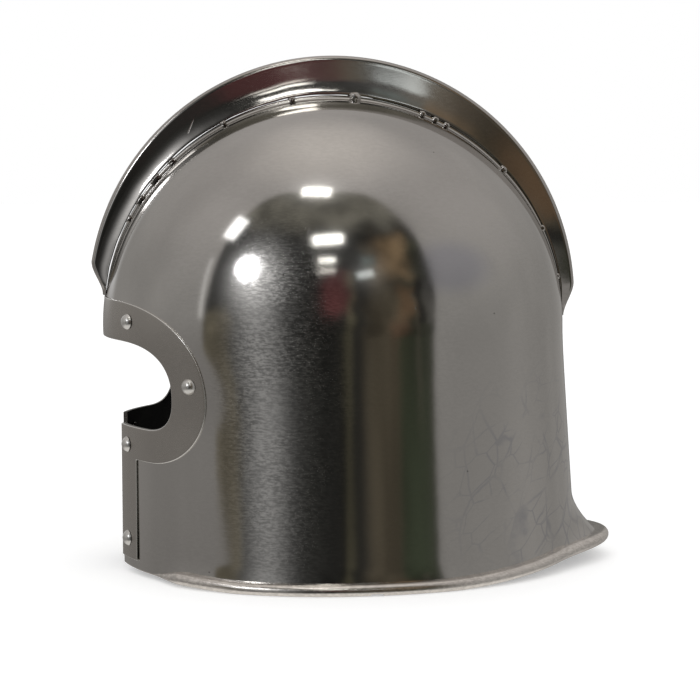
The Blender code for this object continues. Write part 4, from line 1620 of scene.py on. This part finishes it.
    def floor(self) -> None:
        """A plain pale floor."""
        Bench.clear_selection()
        bpy.ops.mesh.primitive_plane_add(size=2.0 * self.floor_half, location=(0.0, 0.0, -self.floor_drop))
        floor = bpy.context.active_object
        floor.name = "floor"
        floor.visible_glossy = False
        material = bpy.data.materials.new("pale_floor")
        material.use_nodes = True
        shader = material.node_tree.nodes["Principled BSDF"]
        shader.inputs["Base Color"].default_value = (*(self.floor_grey,) * 3, 1.0)
        shader.inputs["Roughness"].default_value = self.floor_roughness
        shader.inputs["Emission Color"].default_value = (1.0, 1.0, 1.0, 1.0)
        shader.inputs["Emission Strength"].default_value = self.floor_glow
        floor.data.materials.append(material)

    def surroundings(self) -> None:
        """White behind the helmet, grey round it, pale ground, and a dark recess beside it."""
        world = bpy.data.worlds.new("studio")
        bpy.context.scene.world = world
        world.use_nodes = True
        graph = Graph(world.node_tree)
        vector = graph.node("ShaderNodeTexCoord").outputs["Generated"]
        x, y, z = graph.node("ShaderNodeSeparateXYZ", {0: vector}).outputs
        azimuth = graph.math("DEGREES", graph.math("ARCTAN2", x, graph.math("MULTIPLY", y, -1.0)))
        elevation = graph.math("DEGREES", graph.math("ARCSINE", z))
        lifted = graph.math("MINIMUM", elevation, self.recess_lean_top)
        leaning = graph.math("ADD", azimuth, graph.math("MULTIPLY", lifted, -self.recess_lean))
        rounded = self.recess.mask(graph, leaning, elevation)
        inside = graph.math("MULTIPLY", rounded, self.left_edge(graph, azimuth, elevation))
        walls = self.walls(graph, y, elevation, vector)
        for panel in (self.frame_edge, *self.far_panels):
            walls = graph.blend(panel.mask(graph, azimuth, elevation), walls, (*panel.colour, 1.0))
        shown = graph.blend(inside, walls, self.dark(graph, azimuth, elevation, vector))
        below = graph.ramp(elevation, *self.ground_edge, 1.0, 0.0)
        shown = graph.blend(below, shown, (*self.ground, 1.0))
        level: Source = 0.0
        for glow in self.glows:
            level = graph.math("ADD", level, glow.value(graph, azimuth, elevation))
        light = graph.node("ShaderNodeCombineXYZ", {0: level, 1: level, 2: level}).outputs[0]
        lit = graph.vector("ADD", shown, light)
        path = graph.node("ShaderNodeLightPath")
        soft = graph.blend(path.outputs["Is Diffuse Ray"], lit, (*self.fill, 1.0))
        seen = graph.blend(path.outputs["Is Camera Ray"], soft, (*self.backdrop, 1.0))
        background = graph.node("ShaderNodeBackground", {"Color": seen, "Strength": 1.0})
        output = graph.node("ShaderNodeOutputWorld")
        graph.feed(output.inputs["Surface"], background.outputs[0])

    def left_edge(self, graph: Graph, azimuth: Source, elevation: Source) -> bpy.types.NodeSocket:
        """0 left of the recess's leaning edge, which lies further in towards the floor."""
        edge = graph.ramp(elevation, *self.left_heights, *self.left_azimuths)
        return graph.ramp(graph.math("SUBTRACT", azimuth, edge), -self.left_soft, self.left_soft)

    def walls(
        self, graph: Graph, back: Source, elevation: Source, vector: Source
    ) -> bpy.types.NodeSocket:
        """The grey round the helmet, darker low in front and lighter overhead."""
        shades = [(*shade, 1.0) for shade in (self.wall_low, self.wall_middle, self.wall_high, self.ceiling)]
        low = graph.ramp(elevation, *self.low_edge, 1.0, 0.0)
        front = graph.ramp(back, *self.front_edge, 1.0, self.low_behind)
        lower = graph.blend(graph.math("MULTIPLY", low, front), shades[1], shades[0])
        middle = graph.blend(graph.ramp(elevation, *self.high_edge), lower, shades[2])
        upper = graph.blend(graph.ramp(elevation, *self.ceiling_edge), middle, shades[3])
        cloud = graph.noise(vector, self.cloud_scale, 2.0)
        return graph.scaled(upper, graph.ramp(cloud, *NOISE_RANGE, *self.cloud_range))

    def dark(
        self, graph: Graph, azimuth: Source, elevation: Source, vector: Source
    ) -> bpy.types.NodeSocket:
        """What hangs and stands in the recess: dim panels with uneven edges before near black."""
        inputs = {"Vector": vector, "Scale": self.drape_scale, "Detail": 5.0}
        cloud = graph.node("ShaderNodeTexNoise", inputs)
        red, green, blue = graph.node("ShaderNodeSeparateXYZ", {0: cloud.outputs["Color"]}).outputs
        across = graph.math("MULTIPLY_ADD", graph.math("SUBTRACT", red, 0.5), self.drape_across, azimuth)
        along = graph.math("MULTIPLY_ADD", graph.math("SUBTRACT", green, 0.5), self.drape_up, elevation)
        colour: Source = (*self.recess_colour, 1.0)
        for panel in self.panels:
            colour = graph.blend(panel.mask(graph, across, along), colour, (*panel.colour, 1.0))
        return graph.scaled(colour, graph.ramp(blue, *NOISE_RANGE, *self.mottle_range))

    def light(self, lamp: Lamp) -> None:
        """Hangs one lamp."""
        way = direction(lamp.azimuth, lamp.elevation)
        width = 2.0 * self.lamp_distance * math.tan(math.radians(lamp.width / 2))
        height = 2.0 * self.lamp_distance * math.tan(math.radians(lamp.height / 2))
        data = bpy.data.lights.new(lamp.name, "AREA")
        data.shape = "ELLIPSE" if lamp.round_shape else "RECTANGLE"
        data.size = width
        data.size_y = height
        area = width * height * (math.pi / 4 if lamp.round_shape else 1.0)
        data.energy = lamp.radiance * math.pi * area
        data.color = lamp.colour
        holder = bpy.data.objects.new(lamp.name, data)
        bpy.context.scene.collection.objects.link(holder)
        turn = way.to_track_quat("Z", "Y").to_matrix().to_4x4()
        roll = Matrix.Rotation(math.radians(lamp.roll), 4, "Z")
        holder.matrix_world = Matrix.Translation(self.aim + way * self.lamp_distance) @ turn @ roll
        holder.visible_camera = False

    def camera(self) -> None:
        """Places the camera at the photograph's angle."""
        data = bpy.data.cameras.new("camera")
        data.lens = self.lens
        data.sensor_width = self.sensor_width
        camera = bpy.data.objects.new("camera", data)
        bpy.context.scene.collection.objects.link(camera)
        way = direction(self.camera_azimuth, self.camera_elevation)
        camera.location = self.camera_target + way * self.camera_distance
        camera.rotation_euler = way.to_track_quat("Z", "Y").to_euler()
        bpy.context.scene.camera = camera

    def build(self) -> None:
        """Sets up the whole studio."""
        scene = bpy.context.scene
        scene.view_settings.view_transform = "Standard"
        scene.view_settings.look = "None"
        self.camera()
        self.floor()
        self.surroundings()
        for lamp in self.lamps:
            self.light(lamp)
        LOG.info("studio: %d lamps", len(self.lamps))


class Finish(Enum):
    """The finishes of the helmet's surfaces."""

    SKULL = Steel(
        "polished_steel",
        colour=(0.60, 0.585, 0.565),
        bright=0.10,
        dull=0.42,
        waves=0.30 * MM,
        marks=0.022 * MM,
        grain=0.045 * MM,
        grain_share=0.06,
        grain_contrast=0.8,
        scratch_reach=0.10,
        pitted=True,
        worked=(Patch(Vector((0.095, -0.045, 0.095)), 0.120, Vector((1.0, 2.9, 1.0))),),
        veins=(
            Patch(Vector((0.062, 0.096, 0.050)), 0.078),
            Patch(Vector((0.045, 0.120, 0.020)), 0.050),
            Patch(Vector((-0.070, 0.060, 0.050)), 0.055),
        ),
        smudges=(Patch(Vector((0.084, 0.043, 0.169)), 0.027, Vector((1.0, 0.8, 1.5))),),
        scuffs=(Patch(Vector((0.069, 0.034, 0.208)), 0.040),),
        spots=(
            Patch(Vector((0.077, 0.067, 0.144)), 0.7 * MM),
            Patch(Vector((0.086, 0.052, 0.062)), 0.6 * MM),
            Patch(Vector((0.083, 0.055, 0.108)), 0.5 * MM),
        ),
    )
    # Lighter than the skull's steel: partly wear, partly a painted sheen for the roll's bright reflection.
    RIM = Steel(
        "worn_rim_and_sheen_steel",
        colour=(0.86, 0.82, 0.78),
        bright=0.22,
        dull=0.45,
        waves=0.0,
        marks=0.06 * MM,
        grain=0.020 * MM,
    )
    COMB = Steel(
        "comb_steel",
        colour=(0.57, 0.55, 0.53),
        bright=0.09,
        dull=0.22,
        waves=0.42 * MM,
        marks=0.010 * MM,
        grain=0.005 * MM,
        grain_share=0.7,
        grain_contrast=0.12,
        strokes=(Stroke(Vector((0.0045, -0.0918, 0.2381)), Vector((0.0035, -0.0856, 0.2523)), 0.45 * MM),),
    )
    BAND = Steel(
        "satin_steel",
        colour=(0.50, 0.475, 0.445),
        bright=0.26,
        dull=0.42,
        waves=0.10 * MM,
        marks=0.002 * MM,
        grain=0.0015 * MM,
        grain_contrast=0.06,
    )
    # The band's rounded edges: nearly white, partly for wear and partly a painted highlight along them.
    EDGE = Steel(
        "worn_edge_and_highlight_steel",
        colour=(0.94, 0.93, 0.91),
        bright=0.22,
        dull=0.32,
        waves=0.0,
        marks=0.0,
        grain=0.0,
        grain_contrast=0.0,
    )
    # Lighter than the skull's steel: a painted sheen that brightens the rivet heads.
    RIVET = Steel(
        "rivet_steel",
        colour=(0.80, 0.79, 0.77),
        bright=0.28,
        dull=0.42,
        waves=0.0,
        marks=0.03 * MM,
        grain=0.003 * MM,
        grain_share=0.3,
    )


def painted_shade_inside() -> bpy.types.Material:
    """The skull's inside, painted near black as painted shade, which shows only through the face opening and
    from below.
    """
    material = bpy.data.materials.new("inside_painted_shade")
    material.use_nodes = True
    graph = Graph(material.node_tree)
    vector = graph.node("ShaderNodeTexCoord").outputs["Object"]
    shader = graph.node("ShaderNodeBsdfPrincipled", {"Metallic": 0.0, "Specular IOR Level": 0.25})
    output = graph.node("ShaderNodeOutputMaterial")
    graph.feed(output.inputs["Surface"], shader.outputs[0])
    patches = graph.ramp(graph.noise(vector, 35.0, 5.0, 0.6), 0.35, 0.7)
    # Near black: painted shade for the helmet's dark inside.
    colour = graph.blend(patches, (0.004, 0.004, 0.004, 1.0), (0.012, 0.011, 0.010, 1.0))
    graph.feed(shader.inputs["Base Color"], colour)
    graph.feed(shader.inputs["Roughness"], graph.ramp(patches, 0.0, 1.0, 0.55, 0.8))
    height = graph.math("MULTIPLY", graph.noise(vector, 400.0, 4.0, 0.6), 0.15 * MM)
    bump = graph.node("ShaderNodeBump", {"Height": height, "Distance": 1.0, "Strength": 1.0})
    graph.feed(shader.inputs["Normal"], bump.outputs[0])
    return material


WELD_BEADS = (
    Bead(28.0, 2.2 * MM, 0.6 * MM),
    Bead(33.5, 3.4 * MM, 0.6 * MM),
    Bead(40.0, 4.0 * MM, 0.7 * MM),
    Bead(46.0, 2.8 * MM, 0.6 * MM),
    Bead(62.0, 1.8 * MM, 0.9 * MM),
    Bead(80.0, 2.0 * MM, 1.0 * MM),
    Bead(95.5, 3.3 * MM, 2.3 * MM),
    Bead(112.5, 2.0 * MM, 1.2 * MM),
    Bead(116.0, 1.8 * MM, 1.1 * MM),
    Bead(119.0, 1.8 * MM, 1.1 * MM),
    Bead(137.0, 2.4 * MM, 1.3 * MM),
    Bead(155.0, 1.8 * MM, 1.1 * MM),
    Bead(168.0, 1.6 * MM, 0.9 * MM),
)


def main() -> None:
    """Builds the helmet's pieces in order, then the studio."""
    logging.basicConfig(level=logging.INFO, format="%(message)s")
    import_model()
    plain = SkullForm()
    form = SkullForm(axis_y=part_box("skull")[0].y + plain.front_reach)
    materials = {finish: finish.value.material() for finish in Finish}

    opening = FaceOpening(form)
    skull_finishes = (materials[Finish.SKULL], materials[Finish.RIM], painted_shade_inside())
    dress(Skull(form).build(opening.cutters(), skull_finishes), Slot.SKULL, ["skull"])
    comb = Comb(form)
    dress(comb.build(), Slot.COMB, ["comb"], materials[Finish.COMB])
    dress(Welds(comb, WELD_BEADS).build(), Slot.COMB, [], materials[Finish.COMB])
    band = FaceBand(opening)
    band_finishes = (materials[Finish.BAND], materials[Finish.EDGE])
    dress(band.build(band_finishes), Slot.BAND, ["face_band"])
    for node, rivet in Rivets(band).build().items():
        dress(rivet, Slot.RIVET, [node], materials[Finish.RIVET])

    Studio().build()


if __name__ == "__main__":
    main()
